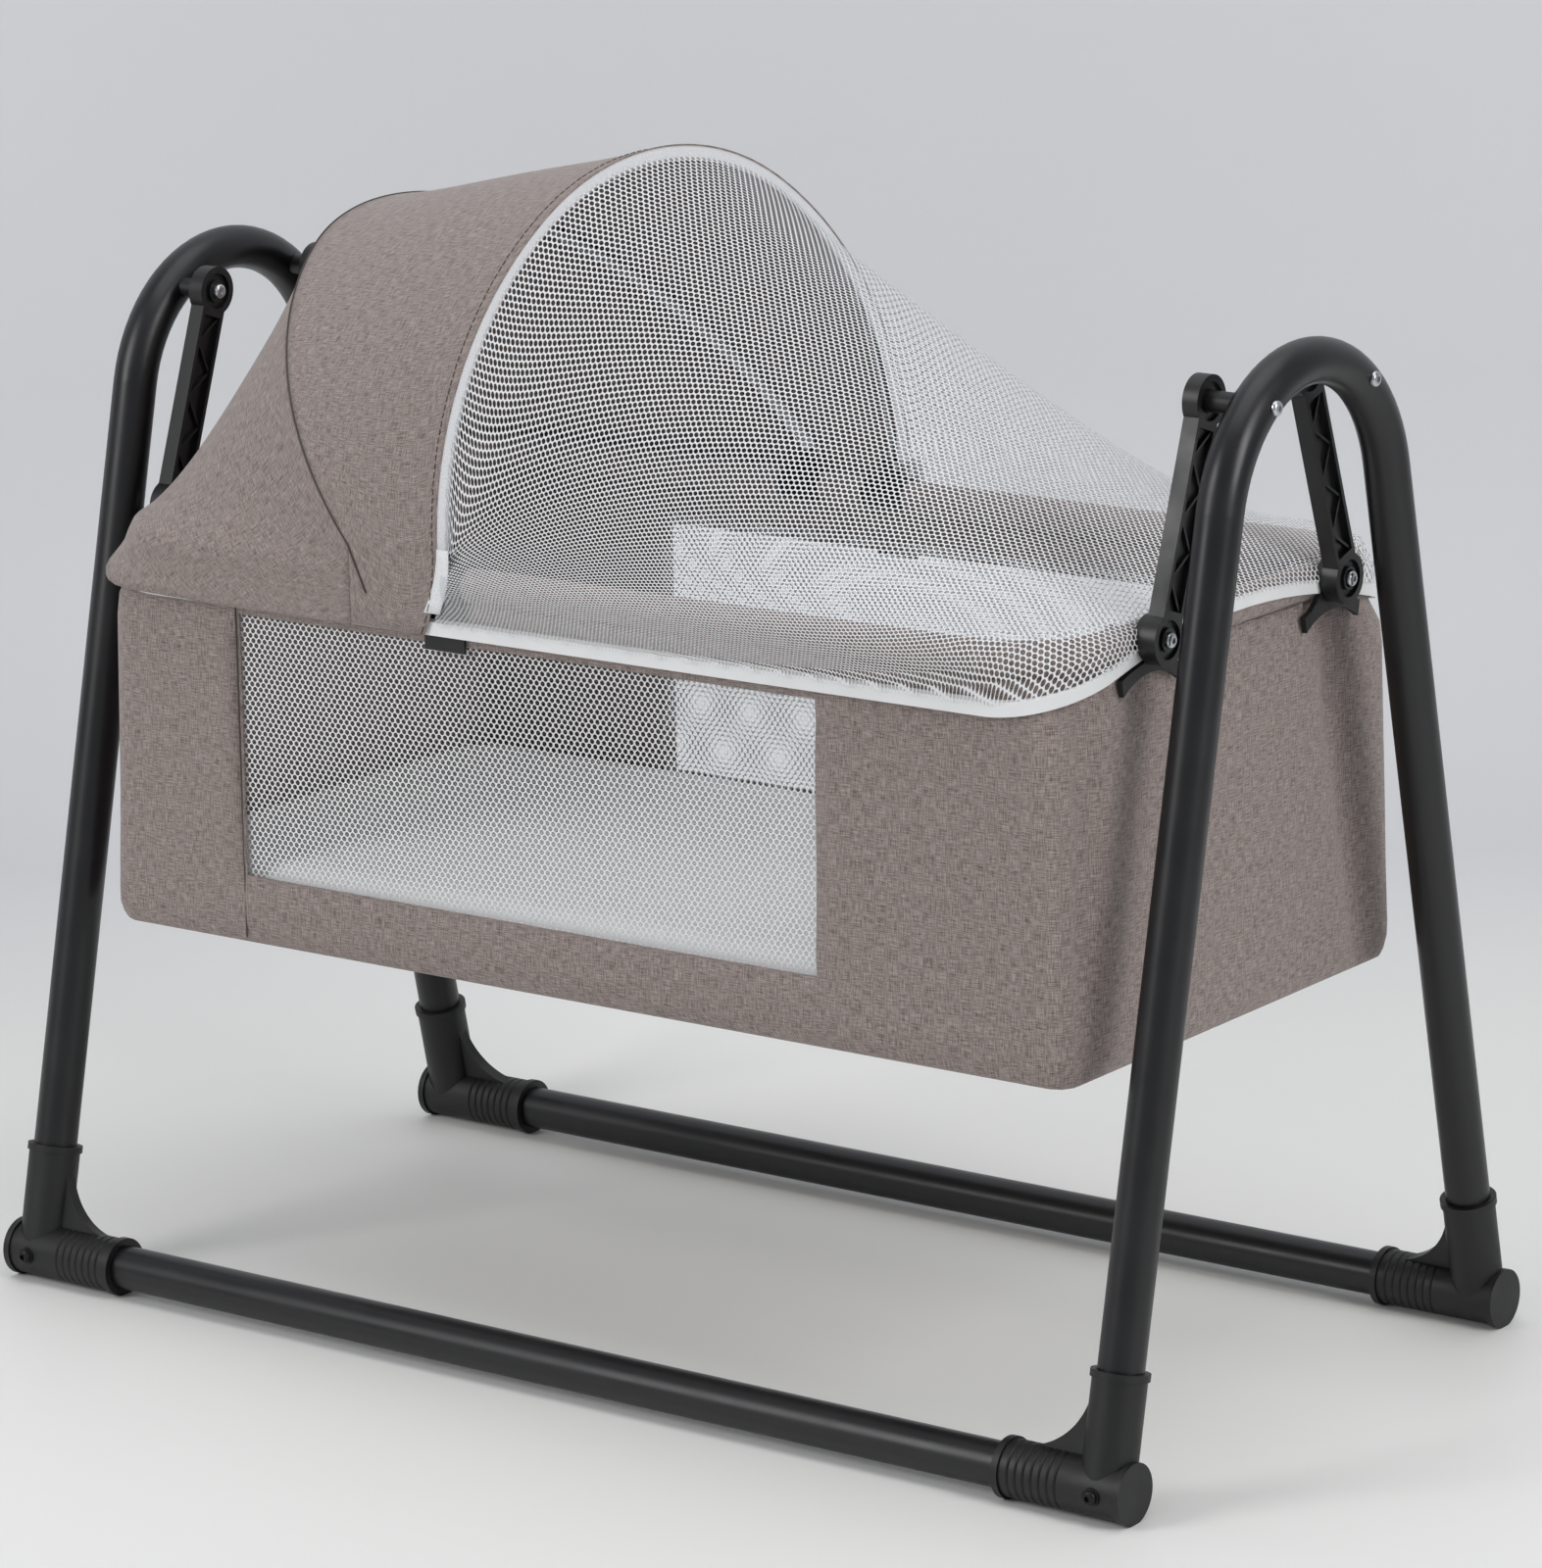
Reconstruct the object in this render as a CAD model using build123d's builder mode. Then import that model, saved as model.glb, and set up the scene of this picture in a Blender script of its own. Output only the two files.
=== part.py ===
from build123d import *
from math import asin, atan2, cos, degrees, hypot, radians, sin
import os

os.makedirs("parts", exist_ok=True)

# Stand tube and where the two hoops stand
tube_d = 32.0
tube_wall = 1.5
hoop_x = 469.3
foot_y = 244.2
arch_r = 108.6
arch_centre_z = 628.1
socket_gap = 0.15

# Moulded elbows at the floor corners
bead_r = 21.5
rail_z = 21.0
rail_socket_r = 20.0
rail_socket_in = 79.0
rail_socket_out = 21.7
end_wall = 4.0
leg_socket_r = 18.8
collar_r = 20.3
collar_h = 5.0
collar_up = 79.0
leg_stop_up = 25.0
gusset_t = 9.0
gusset_up = 68.0
gusset_in = 70.0
groove_count = 7
groove_pitch = 6.3
groove_depth = 0.9
groove_w = 2.4
groove_start = 12.0
boss_r = 6.5
boss_h = 1.4

# Swing arms: an I section between two round ends, hung inside each hoop
arm_x = 430.0
arm_t = 12.0
arm_hub_r = 18.0
arm_body_w = 24.0
arm_web_t = 4.0
arm_flange_t = 3.2
arm_dish_r = 13.2
arm_dish_depth = 2.6
upper_y = 62.85
upper_z = 716.9
lower_y = 115.0
lower_z = 565.6
rib_count = 6
rib_t = 1.8
rib_height = 2.6
running_gap = 0.05
open_pivot_gap = 1.3

# Pivot hardware
bolt_r = 3.0
bolt_hole_gap = 0.1
head_r = 5.4
head_h = 3.2
socket_flat_r = 2.3
socket_depth = 1.9
sleeve_r = 5.0
spacer_r = 7.5
side_play = 0.4

# Rim tube of the basket and the fabric casing round it
rim_half_l = 405.0
rim_half_w = 207.0
rim_corner_r = 62.0
rim_z = 561.0
rim_tube_r = 11.0
rim_tube_wall = 1.2
casing_gap = 0.3
casing_t = 1.5

# Basket cover
wall_half_l = 418.0
wall_half_w = 212.0
wall_t = 3.0
wall_corner_r = 40.0
hem_z = 515.0
low_z = 300.0
low_corner_r = 32.0
floor_z = 274.0
floor_inset = 8.0
floor_t = 3.0
window_l = 503.0
window_shift = -34.5
window_low = 326.0
window_high = 518.0

# Window nets
net_t = 1.0
net_border = 8.0
net_rows = 7
net_row_pitch = 24.0
net_pitch = 30.0
net_gap_l = 26.0
net_gap_h = 17.0

# Base board and mattress
board_t = 5.0
board_gap = 3.0
mattress_gap = 8.0
mattress_h = 48.0
mattress_crown = 7.0
mattress_corner_r = 38.0
soft_gap = 0.3

# Zip band round the rim, low along the sides and high at the ends
band_h = 9.0
band_t = 2.2
band_side_t = 4.6
band_side_z = 535.0
band_end_z = 568.0
band_corner_r = 58.0
slider_l = 16.0

# Brackets that carry the basket
bracket_t = 4.0
bracket_boss_r = 16.0
wing_reach = 36.0
wing_top = -20.0
wing_tip = -34.0

# Clips and hoops of the canopy
clip_w = 35.0
clip_wall = 1.4
tail_t = 2.2
tail_low = 514.0
tail_high = 549.0
hinge_z = 582.0
hinge_y = 208.0
near_hinge_x = -95.0
far_hinge_x = -12.0
mid_hinge_back = 75.0
ear_t = 2.0
ear_gap = 0.4
ear_r = 6.5
pin_r = 2.0
eye_r = 5.5
eye_t = 5.0
wire_r = 2.5
front_tilt = 2.0
mid_tilt = 46.4

# Canopy fabric and zip-on net
skin_t = 1.3
skin_half_l = 422.6
skin_half_w = 223.2
skin_corner_r = 77.0
front_rise = 261.0
front_top_r = 190.0
mid_rise = 290.0
mid_top_r = 165.0
head_rise = 5.0
shoulder_z = 575.0
skin_low_z = 500.0
net_fall = 1.25
net_stations = (60.0, 190.0, 320.0)

# How the legs lean to run into the arch
foot_drop = arch_centre_z - rail_z
leg_splay = degrees(atan2(foot_y, foot_drop) - asin(arch_r / hypot(foot_y, foot_drop)))
lean_y = sin(radians(leg_splay))
lean_z = cos(radians(leg_splay))
tangent_y = arch_r * lean_z
tangent_z = arch_centre_z + arch_r * lean_y
tube_r = tube_d / 2
bore_r = tube_r + socket_gap
elbow_end_x = hoop_x + rail_socket_out
elbow_in_x = hoop_x - rail_socket_in
rail_end_x = elbow_end_x - end_wall

casing_r = rim_tube_r + casing_gap + casing_t
arm_in_x = arm_x - arm_t / 2
arm_out_x = arm_x + arm_t / 2
bracket_face_x = arm_in_x - side_play
sleeve_end_x = arm_out_x + side_play
band_rise = band_end_z - band_side_z
band_arc_r = (rim_half_w**2 + band_rise**2) / (2 * band_rise)
band_centre_z = band_end_z - band_arc_r
ends = (("head", -1), ("foot", 1))
sides = (("near", -1), ("far", 1))


def write(piece, name):
    piece.label = name
    export_step(piece, "parts/" + name + ".step")


def rounded_block(half_l, half_w, corner_r, low, high):
    with BuildPart() as block:
        with BuildSketch(Plane.XY.offset(low)):
            RectangleRounded(2 * half_l, 2 * half_w, corner_r)
        extrude(amount=high - low)
    return block.part


def corners(part):
    """The piece made at +X +Y, with its mirror images at the other three corners."""
    far_head = mirror(part, about=Plane.YZ)
    return {
        ("foot", "far"): part,
        ("head", "far"): far_head,
        ("foot", "near"): mirror(part, about=Plane.XZ),
        ("head", "near"): mirror(far_head, about=Plane.XZ),
    }


# Hoops: one bent tube each, with cross holes for the pivot bolts
for end, side_x in ends:
    with BuildPart() as hoop:
        with BuildLine(Plane.YZ.offset(side_x * hoop_x)) as bend:
            foot = (foot_y - leg_stop_up * lean_y, rail_z + leg_stop_up * lean_z)
            Line((-foot[0], foot[1]), (-tangent_y, tangent_z))
            ThreePointArc(
                (-tangent_y, tangent_z), (0, arch_centre_z + arch_r), (tangent_y, tangent_z)
            )
            Line((tangent_y, tangent_z), foot)
        with BuildSketch(Plane(origin=bend.line @ 0, z_dir=bend.line % 0)):
            Circle(tube_r)
            Circle(tube_r - tube_wall, mode=Mode.SUBTRACT)
        sweep(path=bend.line)
        with BuildSketch(Plane.YZ.offset(side_x * hoop_x)):
            with Locations((-upper_y, upper_z), (upper_y, upper_z)):
                Circle(bolt_r + bolt_hole_gap)
        extrude(amount=tube_d, both=True, mode=Mode.SUBTRACT)
    write(hoop.part, end + "_hoop")

# Floor rails: straight tubes that end inside the elbows
for side, side_y in sides:
    with BuildPart() as rail:
        with BuildSketch(Plane.YZ.offset(-rail_end_x)):
            with Locations((side_y * foot_y, rail_z)):
                Circle(tube_r)
                Circle(tube_r - tube_wall, mode=Mode.SUBTRACT)
        extrude(amount=2 * rail_end_x)
        with BuildSketch(Plane.XZ.offset(-side_y * foot_y)):
            with Locations((-hoop_x, rail_z), (hoop_x, rail_z)):
                Circle(bolt_r + bolt_hole_gap)
        extrude(amount=-side_y * tube_d, mode=Mode.SUBTRACT)
    write(rail.part, side + "_rail")

# Elbows: ribbed rail socket, leaning leg socket with a collar, and a curved gusset between them
with BuildPart() as elbow:
    rail_line = Plane(origin=(0, foot_y, rail_z), x_dir=(1, 0, 0), z_dir=(0, -1, 0))
    with BuildSketch(rail_line):
        with BuildLine():
            outline = [(elbow_in_x, 0), (elbow_in_x, bead_r), (elbow_in_x + collar_h, bead_r)]
            outline.append((elbow_in_x + collar_h, rail_socket_r))
            for groove in range(groove_count):
                groove_x = elbow_in_x + groove_start + groove * groove_pitch
                outline.append((groove_x - groove_w / 2, rail_socket_r))
                outline.append((groove_x, rail_socket_r - groove_depth))
                outline.append((groove_x + groove_w / 2, rail_socket_r))
            outline.append((elbow_end_x - collar_h, rail_socket_r))
            outline.append((elbow_end_x - collar_h, bead_r))
            outline.append((elbow_end_x, bead_r))
            outline.append((elbow_end_x, 0))
            Polyline(outline, close=True)
        make_face()
    revolve(axis=Axis((0, foot_y, rail_z), (1, 0, 0)))
    leg_plane = Plane(origin=(hoop_x, foot_y, rail_z), z_dir=(0, -lean_y, lean_z))
    with BuildSketch(leg_plane):
        Circle(leg_socket_r)
    extrude(amount=collar_up)
    with BuildSketch(leg_plane.offset(collar_up - collar_h)):
        Circle(collar_r)
    extrude(amount=collar_h)
    gusset_plane = Plane(
        origin=(hoop_x, foot_y, rail_z), x_dir=(-1, 0, 0), z_dir=(0, lean_z, lean_y)
    )
    with BuildSketch(gusset_plane):
        with BuildLine():
            top = (leg_socket_r - 2, gusset_up)
            toe = (gusset_in, rail_socket_r - 2)
            arc_depth = 1 - cos(radians(45))
            belly = (
                top[0] + (toe[0] - top[0]) * arc_depth,
                toe[1] + (top[1] - toe[1]) * arc_depth,
            )
            ThreePointArc(top, belly, toe)
            Polyline(toe, (toe[0], 0), (0, 0), (0, top[1]), top)
        make_face()
    extrude(amount=gusset_t / 2, both=True)
    with BuildSketch(Plane.XZ.offset(-foot_y - rail_socket_r - boss_h)):
        with Locations((hoop_x, rail_z)):
            Circle(boss_r)
    extrude(amount=2 * boss_h + 2)
    with BuildSketch(Plane.YZ.offset(elbow_in_x)):
        with Locations((foot_y, rail_z)):
            Circle(bore_r)
    extrude(amount=rail_end_x - elbow_in_x, mode=Mode.SUBTRACT)
    with BuildSketch(leg_plane.offset(leg_stop_up)):
        Circle(bore_r)
    extrude(amount=collar_up, mode=Mode.SUBTRACT)
    with BuildSketch(Plane.XZ.offset(-foot_y - rail_socket_r - boss_h)):
        with Locations((hoop_x, rail_z)):
            Circle(bolt_r + bolt_hole_gap)
    extrude(amount=rail_socket_r, mode=Mode.SUBTRACT)
    with BuildSketch(Plane.XY):
        with Locations((hoop_x, foot_y)):
            Rectangle(4 * rail_socket_in, 4 * bead_r)
    extrude(amount=-bead_r, mode=Mode.SUBTRACT)
for (end, side), piece in corners(elbow.part).items():
    write(piece, end + "_" + side + "_elbow")


def button_screw(length, shank_r):
    """A domed screw along +Z: head above zero with a hexagon socket, shank below."""
    with BuildPart() as screw:
        Cylinder(head_r, head_h, align=(Align.CENTER, Align.CENTER, Align.MIN))
        fillet(screw.edges().group_by(Axis.Z)[-1], head_h * 0.75)
        Cylinder(shank_r, length, align=(Align.CENTER, Align.CENTER, Align.MAX))
        with BuildSketch(Plane.XY.offset(head_h)):
            RegularPolygon(socket_flat_r, 6)
        extrude(amount=-socket_depth, mode=Mode.SUBTRACT)
    return screw.part


# Screws that hold the rails in the elbows
rail_screw = button_screw(rail_socket_r - tube_r + tube_wall + boss_h + 3, bolt_r)
with BuildPart() as elbow_screws:
    for side_x in (-1, 1):
        for side_y in (-1, 1):
            seat_y = side_y * (foot_y + rail_socket_r + boss_h)
            with Locations(Location((side_x * hoop_x, seat_y, rail_z), (-90 * side_y, 0, 0))):
                add(rail_screw)
write(elbow_screws.part, "elbow_screws")

# Swing arm at +X +Y, drawn along its own length from the upper pivot to the lower one
arm_length = hypot(lower_y - upper_y, upper_z - lower_z)
arm_lean = degrees(atan2(lower_y - upper_y, upper_z - lower_z))


def swing_arm(lower_gap):
    """An I section arm with dished round ends and a zigzag of ribs in each face."""
    with BuildPart() as arm:
        with BuildSketch(Plane.XY):
            Circle(arm_hub_r)
            with Locations((0, -arm_length)):
                Circle(arm_hub_r)
            with Locations((0, -arm_length / 2)):
                Rectangle(arm_body_w, arm_length)
        extrude(amount=arm_t / 2, both=True)
        pocket_top = -arm_hub_r - 1
        pocket_l = arm_length + 2 * pocket_top
        pocket_w = arm_body_w - 2 * arm_flange_t
        for face in (-1, 1):
            face_plane = Plane.XY.offset(face * arm_t / 2)
            with BuildSketch(face_plane):
                with Locations((0, 0), (0, -arm_length)):
                    Circle(arm_dish_r)
                    Circle(sleeve_r + arm_flange_t, mode=Mode.SUBTRACT)
            extrude(amount=-face * arm_dish_depth, mode=Mode.SUBTRACT)
            with BuildSketch(face_plane):
                with Locations((0, -arm_length / 2)):
                    Rectangle(pocket_w, pocket_l)
            extrude(amount=-face * (arm_t - arm_web_t) / 2, mode=Mode.SUBTRACT)
            with BuildSketch(Plane.XY.offset(face * arm_web_t / 2)):
                step = pocket_l / rib_count
                for rib in range(rib_count):
                    start = (pocket_w / 2 * (-1) ** rib, pocket_top - rib * step)
                    finish = (-start[0], start[1] - step)
                    with BuildLine():
                        Line(start, finish)
                    trace(line_width=rib_t)
            extrude(amount=face * rib_height)
        with BuildSketch(Plane.XY.offset(-arm_t / 2)):
            Circle(sleeve_r + running_gap)
            with Locations((0, -arm_length)):
                Circle(sleeve_r + lower_gap)
        extrude(amount=arm_t, mode=Mode.SUBTRACT)
    return arm.part


for end, side_x in ends:
    for side, side_y in sides:
        lower_gap = running_gap if side == "near" else open_pivot_gap
        seat = Plane(
            origin=(side_x * arm_x, side_y * upper_y, upper_z),
            x_dir=(0, cos(radians(arm_lean)), side_y * sin(radians(arm_lean))),
            z_dir=(1, 0, 0),
        )
        with BuildPart() as placed_arm:
            with Locations(seat.location):
                add(swing_arm(lower_gap))
        write(placed_arm.part, end + "_" + side + "_arm")

# Upper pivots: spacer shaped to the arch, sleeve through the arm, bolt and domed nut
with BuildPart() as spacer:
    with BuildSketch(Plane.YZ.offset(sleeve_end_x)):
        with Locations((upper_y, upper_z)):
            Circle(spacer_r)
            Circle(bolt_r + bolt_hole_gap, mode=Mode.SUBTRACT)
    extrude(amount=hoop_x - sleeve_end_x)
    with Locations(Location((hoop_x, 0, arch_centre_z), (0, 90, 0))):
        Torus(arch_r, tube_r, mode=Mode.SUBTRACT)
with BuildPart() as arm_spacers:
    for piece in corners(spacer.part).values():
        add(piece)
write(arm_spacers.part, "arm_spacers")

with BuildPart() as upper_sleeve:
    with BuildSketch(Plane.YZ.offset(bracket_face_x)):
        with Locations((upper_y, upper_z)):
            Circle(sleeve_r)
            Circle(bolt_r + bolt_hole_gap, mode=Mode.SUBTRACT)
    extrude(amount=sleeve_end_x - bracket_face_x)
with BuildPart() as upper_sleeves:
    for piece in corners(upper_sleeve.part).values():
        add(piece)
write(upper_sleeves.part, "upper_sleeves")

upper_seat_x = hoop_x + tube_r
upper_tip_x = bracket_face_x - head_h * 0.6
upper_screw = button_screw(upper_seat_x - upper_tip_x, bolt_r)
with BuildPart() as upper_bolts:
    for side_x in (-1, 1):
        for side_y in (-1, 1):
            seat = (side_x * upper_seat_x, side_y * upper_y, upper_z)
            with Locations(Location(seat, (0, 90 * side_x, 0))):
                add(upper_screw)
write(upper_bolts.part, "upper_bolts")


def domed_nut():
    """A domed nut along +Z with a blind hole from its seat and a hexagon socket in its crown."""
    with BuildPart() as nut:
        Cylinder(head_r, head_h + 1, align=(Align.CENTER, Align.CENTER, Align.MIN))
        fillet(nut.edges().group_by(Axis.Z)[-1], head_h * 0.75)
        with BuildSketch(Plane.XY):
            Circle(bolt_r + 0.02)
        extrude(amount=head_h * 0.65, mode=Mode.SUBTRACT)
        with BuildSketch(Plane.XY.offset(head_h + 1)):
            RegularPolygon(socket_flat_r, 6)
        extrude(amount=-socket_depth / 2, mode=Mode.SUBTRACT)
    return nut.part


with BuildPart() as upper_nuts:
    for side_x in (-1, 1):
        for side_y in (-1, 1):
            seat = (side_x * bracket_face_x, side_y * upper_y, upper_z)
            with Locations(Location(seat, (0, -90 * side_x, 0))):
                add(domed_nut())
write(upper_nuts.part, "upper_nuts")

# Lower pivots: bolt from outside through the arm, the bracket and the rim tube
lower_sleeve_shift = Location((0, lower_y - upper_y, lower_z - upper_z))
with BuildPart() as lower_sleeves:
    for piece in corners(upper_sleeve.part.moved(lower_sleeve_shift)).values():
        add(piece)
write(lower_sleeves.part, "lower_sleeves")

nut_seat_x = rim_half_l - casing_r - soft_gap
lower_screw = button_screw(sleeve_end_x - nut_seat_x + head_h * 0.6, bolt_r)
with BuildPart() as lower_bolts:
    for side_x in (-1, 1):
        for side_y in (-1, 1):
            seat = (side_x * sleeve_end_x, side_y * lower_y, lower_z)
            with Locations(Location(seat, (0, 90 * side_x, 0))):
                add(lower_screw)
write(lower_bolts.part, "lower_bolts")
with BuildPart() as lower_nuts:
    for side_x in (-1, 1):
        for side_y in (-1, 1):
            seat = (side_x * nut_seat_x, side_y * lower_y, lower_z)
            with Locations(Location(seat, (0, -90 * side_x, 0))):
                add(domed_nut())
write(lower_nuts.part, "lower_nuts")


def rim_ring(radius, inner_radius=0.0):
    """A round bar or tube along the closed rim path."""
    with BuildSketch(Plane.XY.offset(rim_z)) as outline:
        RectangleRounded(2 * rim_half_l, 2 * rim_half_w, rim_corner_r)
    path = outline.sketch.wires()[0]
    with BuildPart() as ring:
        with BuildSketch(Plane(origin=path @ 0, z_dir=path % 0)):
            Circle(radius)
            if inner_radius:
                Circle(inner_radius, mode=Mode.SUBTRACT)
        sweep(path=path)
    return ring.part


# Rim tube with the lower bolt holes through its ends
with BuildPart() as rim_tube:
    add(rim_ring(rim_tube_r, rim_tube_r - rim_tube_wall))
    with BuildSketch(Plane.YZ.offset(-wall_half_l)):
        with Locations((-lower_y, lower_z), (lower_y, lower_z)):
            Circle(bolt_r + bolt_hole_gap)
    extrude(amount=2 * wall_half_l, mode=Mode.SUBTRACT)
write(rim_tube.part, "rim_tube")

# Brackets: a boss behind the arm and two downturned wings that grip the casing
bracket_back_x = wall_half_l + soft_gap
with BuildPart() as bracket:
    with BuildSketch(Plane.YZ.offset(bracket_back_x)):
        with BuildLine():
            neck = bracket_boss_r - 4
            inner_tip = (lower_y - wing_reach + 2, lower_z + wing_tip)
            outer_tip = (lower_y + wing_reach - 2, lower_z + wing_tip)
            Polyline(
                inner_tip,
                (lower_y - wing_reach, lower_z + wing_top - 3),
                (lower_y - wing_reach + 8, lower_z + wing_top),
                (lower_y - neck, lower_z + wing_top + 12),
                (lower_y + neck, lower_z + wing_top + 4),
                (lower_y + wing_reach - 8, lower_z + wing_top),
                (lower_y + wing_reach, lower_z + wing_top - 3),
                outer_tip,
            )
            ThreePointArc(outer_tip, (lower_y, lower_z + wing_top - 3), inner_tip)
        make_face()
    extrude(amount=bracket_t)
    with BuildSketch(Plane.YZ.offset(bracket_back_x)):
        with Locations((lower_y, lower_z)):
            Circle(bracket_boss_r)
    extrude(amount=bracket_face_x - bracket_back_x)
    with BuildSketch(Plane.YZ.offset(bracket_back_x)):
        with Locations((lower_y, lower_z)):
            Circle(bolt_r + bolt_hole_gap)
    extrude(amount=bracket_face_x - bracket_back_x, mode=Mode.SUBTRACT)
    with BuildSketch(Plane.YZ.offset(bracket_back_x)):
        with Locations((0, band_centre_z)):
            Circle(band_arc_r + band_h / 2 + soft_gap)
            Circle(band_arc_r - band_h / 2 - soft_gap, mode=Mode.SUBTRACT)
    extrude(amount=band_t + soft_gap, mode=Mode.SUBTRACT)
for (end, side), piece in corners(bracket.part).items():
    write(piece, end + "_" + side + "_bracket")


# Canopy hinge lines: the clips sit further back on the near side, so both lines are skewed
class HingeLine:
    def __init__(self, back):
        self.near = Vector(near_hinge_x - back, -hinge_y, hinge_z)
        self.far = Vector(far_hinge_x - back, hinge_y, hinge_z)
        self.along = (self.far - self.near).normalized()
        self.middle = (self.near + self.far) * 0.5
        self.ahead = self.along.cross(Vector(0, 0, 1))
        self.skew = degrees(atan2(self.along.X, self.along.Y))
        self.half = (self.far - self.near).length / 2

    def plane(self, tilt, forward=0.0, lift=0.0):
        """Plane of a hoop leaning back by tilt, with X along the hinge line and Y up the hoop."""
        up = Vector(0, 0, 1) * cos(radians(tilt)) - self.ahead * sin(radians(tilt))
        origin = self.middle + self.ahead * forward + Vector(0, 0, lift)
        return Plane(origin=origin, x_dir=self.along, z_dir=self.along.cross(up))


front_line = HingeLine(0.0)
mid_line = HingeLine(mid_hinge_back)
trim_over = 0.6
skin_half_u = (skin_half_w + trim_over) / cos(radians(front_line.skew))


def side_radius(half, rise, top_r):
    """Radius of the side arcs that join a crown arc to upright feet."""
    return (half * half + (rise - top_r) ** 2 - top_r * top_r) / (2 * (half - top_r))


def arch_points(half, rise, top_r):
    """Foot, side arc middle, joint and crown of a three-arc arch."""
    side_r = side_radius(half, rise, top_r)
    centre_u = half - side_r
    way = 1 if side_r > top_r else -1
    turn = atan2(way * (rise - top_r), -way * centre_u)
    joint = (centre_u + side_r * cos(turn), side_r * sin(turn))
    middle = (centre_u + side_r * cos(turn / 2), side_r * sin(turn / 2))
    return (half, 0.0), middle, joint, (0.0, rise)


def flat_top(half, rise):
    """Crown radius of a low arch, flatter than the circle through its feet."""
    return 1.35 * (rise * rise + half * half) / (2 * rise)


def flipped(point):
    return (-point[0], point[1])


def arch_line(half, rise, top_r):
    foot, middle, joint, crown = arch_points(half, rise, top_r)
    ThreePointArc(flipped(foot), flipped(middle), flipped(joint))
    ThreePointArc(flipped(joint), crown, joint)
    ThreePointArc(joint, middle, foot)


def arch_face(plane, half, rise, top_r, drop):
    """A closed arch with straight sides that run drop below its feet."""
    foot, middle, joint, crown = arch_points(half, rise, top_r)
    with BuildSketch(plane) as face:
        with BuildLine():
            Line((-half, -drop), (-half, 0))
            ThreePointArc(flipped(foot), flipped(middle), flipped(joint))
            ThreePointArc(flipped(joint), crown, joint)
            ThreePointArc(joint, middle, foot)
            Line((half, 0), (half, -drop))
            Line((half, -drop), (-half, -drop))
        make_face()
    return face.sketch


# Canopy hoops: round wire with flattened eyes on the hinge pins
wire_inset = skin_t + 1.5 + wire_r


def canopy_hoop(line, tilt, rise, top_r):
    plane = line.plane(tilt)
    with BuildPart() as hoop:
        foot, middle, joint, crown = arch_points(line.half, rise - wire_inset, top_r)
        with BuildLine(plane) as path:
            ThreePointArc(flipped(foot), flipped(middle), flipped(joint))
            ThreePointArc(flipped(joint), crown, joint)
            ThreePointArc(joint, middle, foot)
        with BuildSketch(Plane(origin=path.line @ 0, z_dir=path.line % 0)):
            Circle(wire_r)
        sweep(path=path.line)
        for hinge in (line.near, line.far):
            with BuildSketch(Plane(origin=hinge, z_dir=line.along)):
                Circle(eye_r)
            extrude(amount=eye_t / 2, both=True)
        for hinge in (line.near, line.far):
            with BuildSketch(Plane(origin=hinge, z_dir=line.along)):
                Circle(pin_r + running_gap)
            extrude(amount=eye_t, both=True, mode=Mode.SUBTRACT)
    return hoop.part


front_bow = canopy_hoop(front_line, front_tilt, front_rise, front_top_r)
write(front_bow, "front_bow")
mid_bow = canopy_hoop(mid_line, mid_tilt, mid_rise, mid_top_r)
write(mid_bow, "mid_bow")


# Clips: a saddle over the casing with a forked ear for the hoop, and a tail at the front pair
clip_skirt_z = rim_z - 8.0
clip_r = casing_r + soft_gap + clip_wall
clip_out_y = rim_half_w + clip_r * cos(asin((rim_z - clip_skirt_z) / clip_r))
tail_y = wall_half_w + 1.8


def rim_clip(line, hinge, side_y, with_tail):
    centre_x = hinge.X
    with BuildPart() as clip:
        with BuildSketch(Plane.YZ.offset(centre_x - clip_w / 2)):
            with Locations((side_y * rim_half_w, rim_z)):
                Circle(clip_r)
        extrude(amount=clip_w)
        with BuildSketch(Plane(origin=hinge, x_dir=line.ahead * -1, z_dir=line.along)):
            SlotCenterPoint((0, -ear_r), (0, 0), 2 * ear_r)
        extrude(amount=eye_t / 2 + ear_gap + ear_t, both=True)
        with BuildSketch(Plane(origin=hinge, x_dir=line.ahead * -1, z_dir=line.along)):
            Rectangle(4 * ear_r, 2 * (eye_r + 1.5))
        extrude(amount=eye_t / 2 + ear_gap, both=True, mode=Mode.SUBTRACT)
        with BuildSketch(Plane(origin=hinge, z_dir=line.along)):
            Circle(pin_r)
        extrude(amount=eye_t / 2 + ear_gap + ear_t, both=True)
        with BuildSketch(Plane.YZ.offset(centre_x - clip_w)):
            with Locations((side_y * rim_half_w, clip_skirt_z - casing_r)):
                Rectangle(4 * casing_r, 2 * casing_r)
        extrude(amount=2 * clip_w, mode=Mode.SUBTRACT)
        if with_tail:
            with BuildSketch(Plane.YZ.offset(centre_x - clip_w / 2)):
                with Locations((side_y * (tail_y + tail_t / 2), (tail_low + tail_high) / 2)):
                    Rectangle(tail_t, tail_high - tail_low)
                with Locations((side_y * (tail_y + clip_out_y) / 2, tail_high)):
                    Rectangle(clip_out_y - tail_y, 2 * (clip_skirt_z + 1 - tail_high))
            extrude(amount=clip_w)
        with BuildSketch(Plane.YZ.offset(centre_x - clip_w)):
            with Locations((side_y * rim_half_w, rim_z)):
                Circle(casing_r + soft_gap)
        extrude(amount=2 * clip_w, mode=Mode.SUBTRACT)
    return clip.part


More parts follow.
